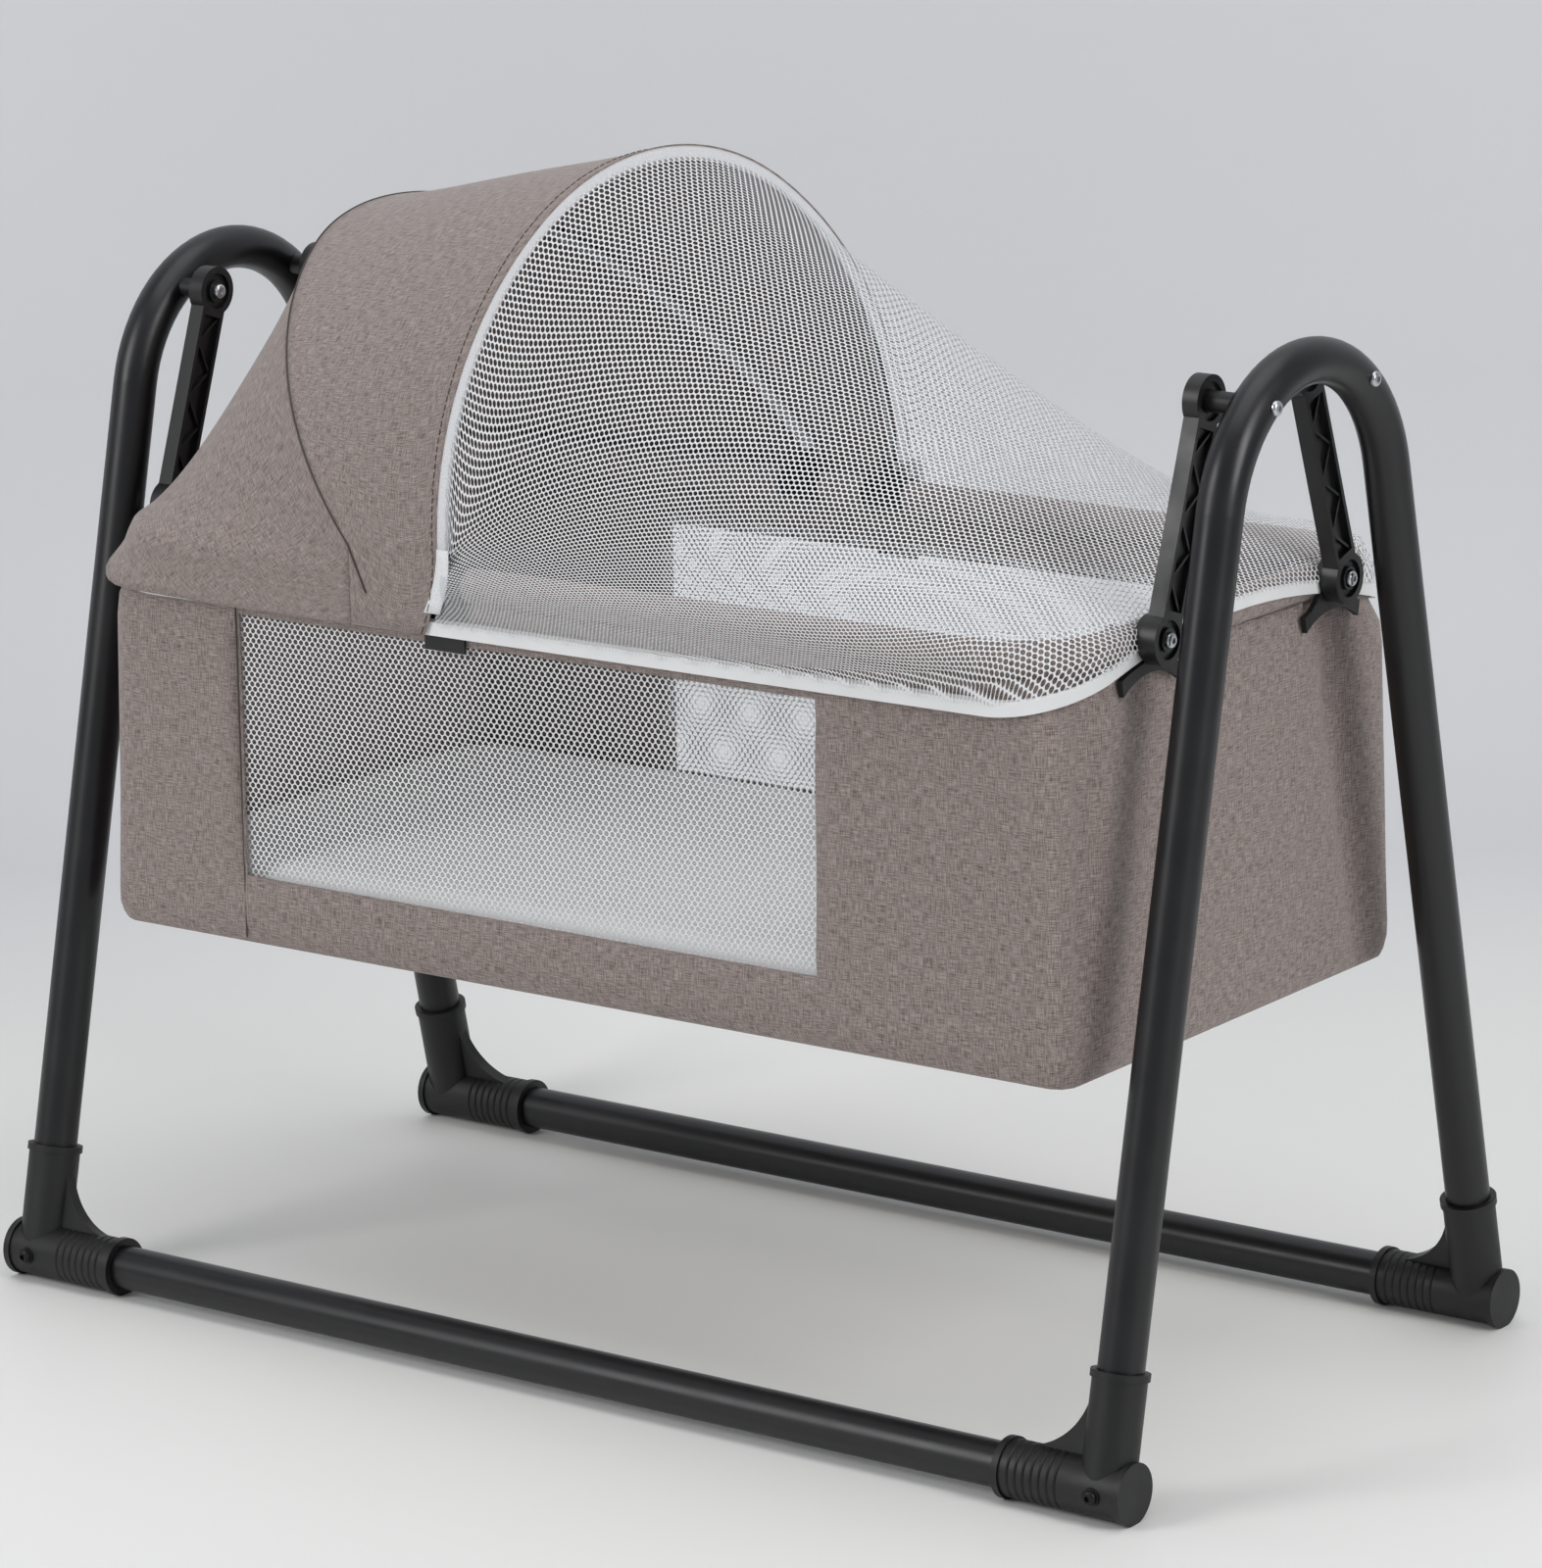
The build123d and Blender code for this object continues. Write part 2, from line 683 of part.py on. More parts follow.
clips = {}
for side, side_y in sides:
    front_hinge = front_line.near if side == "near" else front_line.far
    mid_hinge = mid_line.near if side == "near" else mid_line.far
    clips[side] = rim_clip(front_line, front_hinge, side_y, True)
    write(clips[side], side + "_front_clip")
    write(rim_clip(mid_line, mid_hinge, side_y, False), side + "_rear_clip")

# Basket cover: sewn fabric tub with a casing for the rim tube and a window in each long side
cover_levels = (
    (floor_z, -floor_inset, -floor_inset, low_corner_r - floor_inset),
    (low_z, 0.0, 0.0, low_corner_r),
    (hem_z, 0.0, 0.0, wall_corner_r),
    (rim_z - 10.0, rim_half_l + 7.0 - wall_half_l, 1.6, rim_corner_r + 7.0),
)


def cover_loft(inset, low, high):
    """The tub as one loft; inset draws every level in, low and high move its ends."""
    with BuildPart() as tub:
        for level, (level_z, grow_l, grow_w, corner_r) in enumerate(cover_levels):
            shift = low if level == 0 else high if level == len(cover_levels) - 1 else 0.0
            with BuildSketch(Plane.XY.offset(level_z + shift)):
                RectangleRounded(
                    2 * (wall_half_l + grow_l - inset),
                    2 * (wall_half_w + grow_w - inset),
                    corner_r - inset,
                )
        loft(ruled=True)
    return tub.part


with BuildPart() as basket_cover:
    add(cover_loft(0.0, 0.0, 0.0))
    add(cover_loft(wall_t, floor_t, 0.1), mode=Mode.SUBTRACT)
    add(rim_ring(casing_r))
    add(rim_ring(rim_tube_r + casing_gap), mode=Mode.SUBTRACT)
    with BuildSketch(Plane.XZ):
        with Locations((window_shift, (window_low + window_high) / 2)):
            Rectangle(window_l, window_high - window_low)
    extrude(amount=wall_half_w + 10, mode=Mode.SUBTRACT)
    with BuildSketch(Plane.XZ):
        with Locations((-window_shift, (window_low + window_high) / 2)):
            Rectangle(window_l, window_high - window_low)
    extrude(amount=-wall_half_w - 10, mode=Mode.SUBTRACT)
    with BuildSketch(Plane.YZ.offset(-wall_half_l - 1)):
        with Locations((-lower_y, lower_z), (lower_y, lower_z)):
            Circle(bolt_r + soft_gap)
    extrude(amount=2 * wall_half_l + 2, mode=Mode.SUBTRACT)
write(basket_cover.part, "basket_cover")


# Window nets: one holed sheet each, laid against the inside of the wall
def window_net(centre_x, face_y, outward):
    height = window_high - window_low
    with BuildPart() as net:
        with BuildSketch(Plane.XZ.offset(-face_y)):
            with Locations((centre_x, (window_low + window_high) / 2)):
                Rectangle(window_l + 2 * net_border, height + 2 * net_border)
                for row in range(net_rows):
                    row_z = (row - (net_rows - 1) / 2) * net_row_pitch
                    shift = net_pitch / 2 * (row % 2)
                    count = int((window_l - net_gap_l - shift) // net_pitch) + 1
                    first_x = -window_l / 2 + net_gap_l / 2 + shift
                    for gap in range(count):
                        with Locations((first_x + gap * net_pitch, row_z)):
                            Polygon(
                                (-net_gap_l / 2, 0),
                                (0, -net_gap_h / 2),
                                (net_gap_l / 2, 0),
                                (0, net_gap_h / 2),
                                mode=Mode.SUBTRACT,
                            )
        extrude(amount=outward * net_t)
    return net.part


net_face_y = wall_half_w - wall_t - soft_gap
near_window_net = window_net(window_shift, -net_face_y, -1)
write(near_window_net, "near_window_net")
far_window_net = window_net(-window_shift, net_face_y, 1)
write(far_window_net, "far_window_net")

# Base board under the mattress
board_half_l = wall_half_l - floor_inset - wall_t - board_gap
board_half_w = wall_half_w - floor_inset - wall_t - board_gap
board_corner_r = low_corner_r - floor_inset - wall_t
board_low = floor_z + floor_t + soft_gap
base_board = rounded_block(
    board_half_l, board_half_w, board_corner_r, board_low, board_low + board_t
)
write(base_board, "base_board")

# Mattress: a crowned pad whose sides draw in towards the seams
pad_half_l = wall_half_l - wall_t - mattress_gap
pad_half_w = wall_half_w - wall_t - mattress_gap
pad_low = board_low + board_t + soft_gap
pad_levels = (
    (0.0, 6.0),
    (0.3, 0.0),
    (0.72, 1.0),
    (1.0, 9.0),
)
with BuildPart() as mattress:
    for share, inset in pad_levels:
        with BuildSketch(Plane.XY.offset(pad_low + share * mattress_h)):
            RectangleRounded(
                2 * (pad_half_l - inset), 2 * (pad_half_w - inset), mattress_corner_r - inset
            )
    with BuildSketch(Plane.XY.offset(pad_low + mattress_h + mattress_crown)):
        RectangleRounded(2 * (pad_half_l - 90), 2 * (pad_half_w - 70), mattress_corner_r)
    loft(ruled=True)
write(mattress.part, "mattress")

# Zip band: a strip round the rim whose height follows one large arc across the basket


def arc_drum(radius):
    """A drum along X whose top is the arc that the zip follows."""
    with BuildPart() as drum:
        with BuildSketch(Plane.YZ.offset(-2 * wall_half_l)):
            with Locations((0, band_centre_z)):
                Circle(radius)
        extrude(amount=4 * wall_half_l)
    return drum.part


band_in_l = wall_half_l + soft_gap
band_in_w = skin_half_w - skin_t - 1.0 - band_side_t
with BuildPart() as zip_band:
    add(
        rounded_block(
            band_in_l + band_t,
            band_in_w + band_side_t,
            band_corner_r + band_side_t,
            hem_z,
            hinge_z,
        )
    )
    add(rounded_block(band_in_l, band_in_w, band_corner_r, hem_z, hinge_z), mode=Mode.SUBTRACT)
    add(arc_drum(band_arc_r + band_h / 2), mode=Mode.INTERSECT)
    add(arc_drum(band_arc_r - band_h / 2), mode=Mode.SUBTRACT)
    with BuildSketch(Plane.YZ.offset(-wall_half_l - 20)):
        with Locations((-lower_y, lower_z), (lower_y, lower_z)):
            Circle(bolt_r + soft_gap)
    extrude(amount=2 * wall_half_l + 40, mode=Mode.SUBTRACT)
write(zip_band.part, "zip_band")

# Zip slider parked on the band near the foot corner of the far side
slider_x = rim_half_l - rim_corner_r - 40.0
band_out_w = band_in_w + band_side_t
slider_z = band_centre_z + band_arc_r * cos(asin(band_out_w / band_arc_r))
with BuildPart() as zip_slider:
    with BuildSketch(Plane.XZ.offset(-band_out_w - soft_gap)):
        with Locations((slider_x, slider_z)):
            RectangleRounded(slider_l, 7.5, 2.0)
    extrude(amount=-1.6)
write(zip_slider.part, "zip_slider")

# Canopy and net skins, both open below and trimmed to the top of the zip band
crown_z = front_line.middle.Z + front_rise
skirt_top_z = shoulder_z
skirt_drop = 2.0


def half_space(forward, ahead):
    """Everything ahead of or behind the leaning plane where the canopy meets the net."""
    amount = 3 * wall_half_l if ahead else -3 * wall_half_l
    with BuildPart() as space:
        with BuildSketch(front_line.plane(front_tilt, forward=forward)):
            Rectangle(6 * wall_half_w, 4 * crown_z)
        extrude(amount=amount)
    return space.part


def skin_solid(sections, inset, forward, ahead):
    """Ruled roof over a skirt block, both kept on one side of the front hoop plane."""
    half_l = skin_half_l - inset
    half_w = skin_half_w - inset
    corner_r = skin_corner_r - inset
    low = skin_low_z - inset
    with BuildPart() as roof:
        loft(sections=sections, ruled=True)
        add(rounded_block(half_l, half_w, corner_r, low, crown_z + 20), mode=Mode.INTERSECT)
    with BuildPart() as skirt:
        add(rounded_block(half_l, half_w, corner_r, low, skirt_top_z))
        add(half_space(forward, ahead), mode=Mode.INTERSECT)
    with BuildPart() as solid:
        add(roof.part)
        add(skirt.part)
    return solid.part


def front_section(inset, forward):
    return arch_face(
        front_line.plane(front_tilt, forward=forward),
        skin_half_u - inset,
        front_rise - inset,
        front_top_r,
        hinge_z - skirt_top_z + skirt_drop,
    )


def low_section(station, rise, inset):
    half = skin_half_w + trim_over - inset
    return arch_face(
        Plane(origin=(station, 0, shoulder_z), x_dir=(0, 1, 0), z_dir=(1, 0, 0)),
        half,
        rise - inset,
        flat_top(half, rise - inset),
        skirt_drop,
    )


def canopy_solid(inset, forward):
    middle = arch_face(
        mid_line.plane(mid_tilt),
        skin_half_u - inset,
        mid_rise - inset,
        mid_top_r,
        (hinge_z - skirt_top_z + skirt_drop) / cos(radians(mid_tilt)),
    )
    sections = [
        front_section(inset, forward),
        middle,
        low_section(-skin_half_l - 1, head_rise, inset),
    ]
    return skin_solid(sections, inset, forward, False)


def net_solid(inset, forward):
    sections = [front_section(inset, forward)]
    start_x = front_line.middle.X
    end_x = skin_half_l + 1
    for station in net_stations + (end_x,):
        share = (end_x - station) / (end_x - start_x)
        rise = (crown_z - shoulder_z) * share**net_fall + head_rise
        sections.append(low_section(station, rise, inset))
    return skin_solid(sections, inset, forward, True)


def skin_shell(outer, inner):
    """Outer less inner, cut to the top of the zip band and round the bracket bosses."""
    with BuildPart() as shell:
        add(outer)
        add(inner, mode=Mode.SUBTRACT)
        add(arc_drum(band_arc_r + band_h / 2 + soft_gap), mode=Mode.SUBTRACT)
        with BuildSketch(Plane.YZ.offset(-skin_half_l - 5)):
            with Locations((-lower_y, lower_z), (lower_y, lower_z)):
                Circle(bracket_boss_r + soft_gap)
        extrude(amount=2 * skin_half_l + 10, mode=Mode.SUBTRACT)
    return shell.part


canopy_fabric = skin_shell(canopy_solid(0.0, 0.0), canopy_solid(skin_t, 1.0))
write(canopy_fabric, "canopy_fabric")
zip_net = skin_shell(net_solid(0.0, soft_gap), net_solid(skin_t, soft_gap - 1.0))
write(zip_net, "zip_net")
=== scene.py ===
import bmesh
import bpy
from math import atan2, cos, exp, hypot, pi, radians, sin, sqrt
from mathutils import Matrix, Vector, noise


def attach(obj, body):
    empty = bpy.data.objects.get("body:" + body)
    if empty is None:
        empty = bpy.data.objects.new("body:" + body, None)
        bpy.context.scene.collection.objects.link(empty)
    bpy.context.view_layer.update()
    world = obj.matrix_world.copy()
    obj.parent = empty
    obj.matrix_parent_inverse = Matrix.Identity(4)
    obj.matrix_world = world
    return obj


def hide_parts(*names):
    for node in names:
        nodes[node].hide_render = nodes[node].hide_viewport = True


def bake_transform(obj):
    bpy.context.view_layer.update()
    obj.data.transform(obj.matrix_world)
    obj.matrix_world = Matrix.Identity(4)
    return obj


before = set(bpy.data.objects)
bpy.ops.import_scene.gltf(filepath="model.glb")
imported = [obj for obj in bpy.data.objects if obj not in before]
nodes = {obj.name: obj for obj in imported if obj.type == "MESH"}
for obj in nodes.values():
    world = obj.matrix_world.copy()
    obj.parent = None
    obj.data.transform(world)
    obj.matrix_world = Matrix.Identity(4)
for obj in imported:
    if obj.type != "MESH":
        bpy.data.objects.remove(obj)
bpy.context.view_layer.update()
mm = 0.001


# Stand: two bent hoops and two floor rails of 32 mm steel tube, painted satin black.
# The paint has a fine orange peel and slight changes of gloss, and shows soft blue-grey lights.
def srgb(red, green, blue):
    shares = [value / 255 for value in (red, green, blue)]
    return tuple(s / 12.92 if s < 0.04 else ((s + 0.055) / 1.055) ** 2.4 for s in shares) + (1.0,)


def open_group(name, inputs, outputs):
    group = bpy.data.node_groups.new(name, "ShaderNodeTree")
    for label, kind, value in inputs:
        socket = group.interface.new_socket(label, in_out="INPUT", socket_type="NodeSocket" + kind)
        if value is not None:
            socket.default_value = value
    for label, kind in outputs:
        group.interface.new_socket(label, in_out="OUTPUT", socket_type="NodeSocket" + kind)
    return group, group.nodes.new("NodeGroupInput"), group.nodes.new("NodeGroupOutput")


def place(tree, kind, values=(), **settings):
    node = tree.nodes.new("ShaderNode" + kind)
    for setting, value in settings.items():
        setattr(node, setting, value)
    for socket, value in values:
        if hasattr(value, "is_output"):
            tree.links.new(value, node.inputs[socket])
        else:
            node.inputs[socket].default_value = value
    return node


# Grain of a painted or moulded surface: gloss that drifts, a fine bump and a faint shade.
grain, grain_in, grain_out = open_group(
    "surface_grain",
    [
        ("Position", "Vector", None),
        ("Size", "Float", 0.002),
        ("Gloss low", "Float", 0.35),
        ("Gloss high", "Float", 0.5),
        ("Depth", "Float", 0.2),
    ],
    [("Roughness", "Float"), ("Shade", "Float"), ("Normal", "Vector")],
)
finer = place(grain, "Math", [(0, 1.0), (1, grain_in.outputs["Size"])], operation="DIVIDE")
broad_noise = place(
    grain, "TexNoise", [("Vector", grain_in.outputs["Position"]), ("Scale", 26.0), ("Detail", 5.0)]
)
fine_noise = place(
    grain,
    "TexNoise",
    [("Vector", grain_in.outputs["Position"]), ("Scale", finer.outputs[0]), ("Detail", 2.0)],
)
gloss = place(
    grain,
    "MapRange",
    [
        ("Value", broad_noise.outputs["Fac"]),
        ("From Min", 0.3),
        ("From Max", 0.7),
        ("To Min", grain_in.outputs["Gloss low"]),
        ("To Max", grain_in.outputs["Gloss high"]),
    ],
)
relief = place(
    grain,
    "Bump",
    [
        ("Height", fine_noise.outputs["Fac"]),
        ("Strength", grain_in.outputs["Depth"]),
        ("Distance", 0.0002),
    ],
)
grain.links.new(gloss.outputs[0], grain_out.inputs["Roughness"])
grain.links.new(broad_noise.outputs["Fac"], grain_out.inputs["Shade"])
grain.links.new(relief.outputs["Normal"], grain_out.inputs["Normal"])


def hard_finish(name, dark, light, gloss_low, gloss_high, grain_size, grain_depth, metal=0.0):
    material = bpy.data.materials.new(name)
    material.use_nodes = True
    tree = material.node_tree
    shader = tree.nodes["Principled BSDF"]
    where = place(tree, "TexCoord")
    texture = place(
        tree,
        "Group",
        [],
        node_tree=grain,
    )
    tree.links.new(where.outputs["Object"], texture.inputs["Position"])
    texture.inputs["Size"].default_value = grain_size
    texture.inputs["Gloss low"].default_value = gloss_low
    texture.inputs["Gloss high"].default_value = gloss_high
    texture.inputs["Depth"].default_value = grain_depth
    tint = place(
        tree,
        "MixRGB",
        [("Fac", texture.outputs["Shade"]), ("Color1", dark), ("Color2", light)],
    )
    tree.links.new(tint.outputs[0], shader.inputs["Base Color"])
    tree.links.new(texture.outputs["Roughness"], shader.inputs["Roughness"])
    tree.links.new(texture.outputs["Normal"], shader.inputs["Normal"])
    shader.inputs["Metallic"].default_value = metal
    return material


def wear(names, material):
    for name in names:
        nodes[name].data.materials.clear()
        nodes[name].data.materials.append(material)
        nodes[name].data.shade_smooth()


stand_paint = hard_finish(
    "stand_paint", srgb(11, 11, 14), srgb(16, 16, 19), 0.3, 0.4, 0.0009, 0.12
)
wear(["head_hoop", "foot_hoop", "near_rail", "far_rail", "rim_tube"], stand_paint)

# Corner sockets: black nylon mouldings with a fine spark finish, duller than the paint.
# Screws and pivots are zinc plated steel.
socket_black = hard_finish(
    "socket_black", srgb(9, 9, 10), srgb(15, 15, 16), 0.4, 0.58, 0.0006, 0.35
)
wear(
    [
        "head_near_elbow",
        "head_far_elbow",
        "foot_near_elbow",
        "foot_far_elbow",
        "head_near_bracket",
        "head_far_bracket",
        "foot_near_bracket",
        "foot_far_bracket",
        "near_front_clip",
        "far_front_clip",
        "near_rear_clip",
        "far_rear_clip",
        "arm_spacers",
    ],
    socket_black,
)
bright_zinc = hard_finish(
    "bright_zinc", srgb(176, 178, 182), srgb(206, 208, 212), 0.18, 0.34, 0.0005, 0.1, 1.0
)
wear(
    ["upper_sleeves", "upper_bolts", "upper_nuts", "lower_sleeves", "lower_bolts", "lower_nuts"],
    bright_zinc,
)
black_screw = hard_finish(
    "black_screw", srgb(24, 24, 26), srgb(36, 36, 38), 0.3, 0.45, 0.0005, 0.1, 0.6
)
wear(["elbow_screws"], black_screw)

# Swing arms: black nylon I sections with zigzag ribs, a little glossier on their flanges.
arm_black = hard_finish(
    "arm_black", srgb(14, 14, 15), srgb(24, 24, 25), 0.3, 0.48, 0.0008, 0.25
)
wear(["head_near_arm", "head_far_arm", "foot_near_arm", "foot_far_arm"], arm_black)

# Canopy hoops: 5 mm drawn wire. Base board: plain fibreboard. Zip slider: white plastic.
hoop_wire = hard_finish(
    "hoop_wire", srgb(150, 152, 156), srgb(176, 178, 182), 0.25, 0.4, 0.0006, 0.1, 1.0
)
wear(["front_bow", "mid_bow"], hoop_wire)
board_brown = hard_finish(
    "board_brown", srgb(168, 140, 104), srgb(186, 158, 122), 0.6, 0.75, 0.0012, 0.3
)
wear(["base_board"], board_brown)
slider_white = hard_finish(
    "slider_white", srgb(226, 226, 224), srgb(236, 236, 234), 0.3, 0.4, 0.0008, 0.1
)
wear(["zip_slider"], slider_white)
tape_white = hard_finish(
    "tape_white", srgb(220, 221, 222), srgb(236, 236, 236), 0.42, 0.55, 0.0011, 0.5
)
wear(["zip_band"], tape_white)

# Basket cover: one tub of linen-look melange polyester, sewn round the rim tube and hung from it.
# Greige threads of several shades cross in short slubs; each long side has a net window.
half_l = 418.0
half_w = 212.0
cover_low = 275.0
hem_z = 515.0
rim_z = 561.0
rim_half_l = 405.0
rim_half_w = 207.0
rim_corner = 62.0
casing_r = 12.8
window_low = 326.0
window_high = 518.0
near_window = (-286.0, 217.0)
far_window = (-217.0, 286.0)
straight_l = 346.0
straight_w = 142.0

weave, weave_in, weave_out = open_group(
    "melange_weave",
    [
        ("Cloth", "Vector", None),
        ("Threads", "Float", 2900.0),
        ("Slub", "Float", 0.1),
        ("Light thread", "Color", srgb(166, 153, 148)),
        ("Dark thread", "Color", srgb(106, 93, 89)),
        ("Depth", "Float", 0.35),
    ],
    [("Color", "Color"), ("Roughness", "Float"), ("Normal", "Vector")],
)
across = place(
    weave, "Math", [(0, weave_in.outputs["Threads"]), (1, weave_in.outputs["Slub"])], operation="MULTIPLY"
)
warp_size = place(
    weave, "CombineXYZ", [("X", across.outputs[0]), ("Y", weave_in.outputs["Threads"]), ("Z", 1.0)]
)
weft_size = place(
    weave, "CombineXYZ", [("X", weave_in.outputs["Threads"]), ("Y", across.outputs[0]), ("Z", 1.0)]
)
streaks = []
for size in (warp_size, weft_size):
    spread = place(
        weave,
        "VectorMath",
        [(0, weave_in.outputs["Cloth"]), (1, size.outputs[0])],
        operation="MULTIPLY",
    )
    streaks.append(
        place(
            weave,
            "TexNoise",
            [("Vector", spread.outputs[0]), ("Scale", 0.5), ("Detail", 3.0), ("Roughness", 0.65)],
            noise_dimensions="2D",
        )
    )
crossing = place(
    weave,
    "Math",
    [(0, streaks[0].outputs["Fac"]), (1, streaks[1].outputs["Fac"])],
    operation="ADD",
)
shade = place(
    weave,
    "MapRange",
    [("Value", crossing.outputs[0]), ("From Min", 0.72), ("From Max", 1.28)],
)
threads_tint = place(
    weave,
    "MixRGB",
    [
        ("Fac", shade.outputs[0]),
        ("Color1", weave_in.outputs["Dark thread"]),
        ("Color2", weave_in.outputs["Light thread"]),
    ],
)
thread_bump = place(
    weave,
    "Bump",
    [
        ("Height", crossing.outputs[0]),
        ("Strength", weave_in.outputs["Depth"]),
        ("Distance", 0.0006),
    ],
)
thread_gloss = place(
    weave,
    "MapRange",
    [("Value", shade.outputs[0]), ("To Min", 0.92), ("To Max", 0.78)],
)
weave.links.new(threads_tint.outputs[0], weave_out.inputs["Color"])
weave.links.new(thread_gloss.outputs[0], weave_out.inputs["Roughness"])
weave.links.new(thread_bump.outputs["Normal"], weave_out.inputs["Normal"])


def cloth_finish(name, light, dark, threads=2900.0, slub=0.07, depth=0.35, sheen=0.2):
    material = bpy.data.materials.new(name)
    material.use_nodes = True
    tree = material.node_tree
    shader = tree.nodes["Principled BSDF"]
    cloth_map = place(tree, "UVMap", uv_map="cloth")
    texture = place(tree, "Group", node_tree=weave)
    tree.links.new(cloth_map.outputs[0], texture.inputs["Cloth"])
    texture.inputs["Threads"].default_value = threads
    texture.inputs["Slub"].default_value = slub
    texture.inputs["Light thread"].default_value = light
    texture.inputs["Dark thread"].default_value = dark
    texture.inputs["Depth"].default_value = depth
    for socket, source in (("Base Color", "Color"), ("Roughness", "Roughness"), ("Normal", "Normal")):
        tree.links.new(texture.outputs[source], shader.inputs[socket])
    shader.inputs["Sheen Weight"].default_value = sheen
    shader.inputs["Sheen Roughness"].default_value = 0.5
    return material


melange = cloth_finish("melange_fabric", srgb(170, 156, 151), srgb(90, 78, 74))


def sheet_grid(columns, rows, where, cloth_uv):
    """A grid of cloth whose points come from where(column, row), with a metre-true map."""
    cloth = bmesh.new()
    bmesh.ops.create_grid(cloth, x_segments=columns, y_segments=rows, size=1.0)
    cloth_map = cloth.loops.layers.uv.new("cloth")
    cells = {}
    for point in cloth.verts:
        column = round((point.co.x + 1) / 2 * columns)
        row = round((point.co.y + 1) / 2 * rows)
        cells[point] = (column, row)
    for face in cloth.faces:
        for corner in face.loops:
            corner[cloth_map].uv = cloth_uv(*cells[corner.vert])
    for point, cell in cells.items():
        point.co = Vector(where(*cell)) * mm
    return cloth, cells


def finish_piece(name, cloth, materials, smooth=True):
    mesh = bpy.data.meshes.new(name)
    cloth.to_mesh(mesh)
    cloth.free()
    for material in materials:
        mesh.materials.append(material)
    piece = bpy.data.objects.new(name, mesh)
    bpy.context.scene.collection.objects.link(piece)
    if smooth:
        mesh.shade_smooth()
    return piece


def give_thickness(piece, thickness, outward=0.0):
    layer = piece.modifiers.new("thickness", "SOLIDIFY")
    layer.thickness = thickness * mm
    layer.offset = outward


def bell(value, middle, width):
    return exp(-(((value - middle) / width) ** 2))


# The wall is drawn as stations round the tub, with one at each window edge.
side_stops = [-346, -330, -308, -286, -264, -240, -217]
side_stops += [-217 + 434 / 24 * step for step in range(1, 25)]
side_stops += [240, 264, 286, 301, 316, 331, 346]
end_stops = [-142 + 284 / 16 * step for step in range(17)]
corner_steps = 14
levels = [275, 277, 281, 288, 298, 312, 326]
levels += [326 + 192 / 12 * step for step in range(1, 13)]
levels += [523, 530, 537, 544, 550]


def wall_shape(z):
    """Half length, half width and corner radius of the tub at a height."""
    if z < 300:
        low = (300 - z) / 25
        return half_l - 5 * low**3, half_w - 5 * low**3, 17 - 3 * low
    if z < hem_z:
        return half_l, half_w, 17 + 15 * (z - 300) / (hem_z - 300)
    up = (z - hem_z) / (551 - hem_z)
    return half_l - 5.5 * up, half_w + 1.0 * up, 32 + 37 * up


def wall_stations(z):
    """Points and outward directions round the tub at a height, from the near head corner."""
    long_half, wide_half, corner = wall_shape(z)
    found = []
    turns = (
        (side_stops, (1, 0), (0, -1), long_half, wide_half, straight_l, straight_w),
        (end_stops, (0, 1), (1, 0), wide_half, long_half, straight_w, straight_l),
        (side_stops, (-1, 0), (0, 1), long_half, wide_half, straight_l, straight_w),
        (end_stops, (0, -1), (-1, 0), wide_half, long_half, straight_w, straight_l),
    )
    for stops, along, out, reach, stand_off, straight, next_straight in turns:
        for stop in stops:
            x = along[0] * stop + out[0] * stand_off
            y = along[1] * stop + out[1] * stand_off
            found.append((x, y, out[0], out[1]))
        lead = reach - corner - straight
        tail = stand_off - corner - next_straight
        whole = lead + corner * pi / 2 + tail
        for step in range(1, corner_steps):
            gone = whole * step / corner_steps
            if gone < lead:
                ahead, aside, turn = straight + gone, stand_off, 0.0
            elif gone < lead + corner * pi / 2:
                turn = (gone - lead) / corner
                ahead = reach - corner + corner * sin(turn)
                aside = stand_off - corner + corner * cos(turn)
            else:
                turn = pi / 2
                ahead = reach
                aside = stand_off - corner - (gone - lead - corner * pi / 2)
            out_x = out[0] * cos(turn) + along[0] * sin(turn)
            out_y = out[1] * cos(turn) + along[1] * sin(turn)
            x = along[0] * ahead + out[0] * aside
            y = along[1] * ahead + out[1] * aside
            found.append((x, y, out_x, out_y))
    found.append(found[0])
    return found


rings = [wall_stations(z) for z in levels]
station_count = len(rings[0]) - 1
run = [0.0]
hem_ring = rings[levels.index(298)]
for station in range(station_count):
    here, there = hem_ring[station], hem_ring[station + 1]
    run.append(run[-1] + hypot(there[0] - here[0], there[1] - here[1]))


# Where the folds lie: the near foot corner, the two ends, and the height they lean about.
near_fold_y, corner_fold_x = -150, 200
foot_end_x, head_end_x = 380, -380
lean_z = 400
calm_edge, most_swell = 10, 5.0


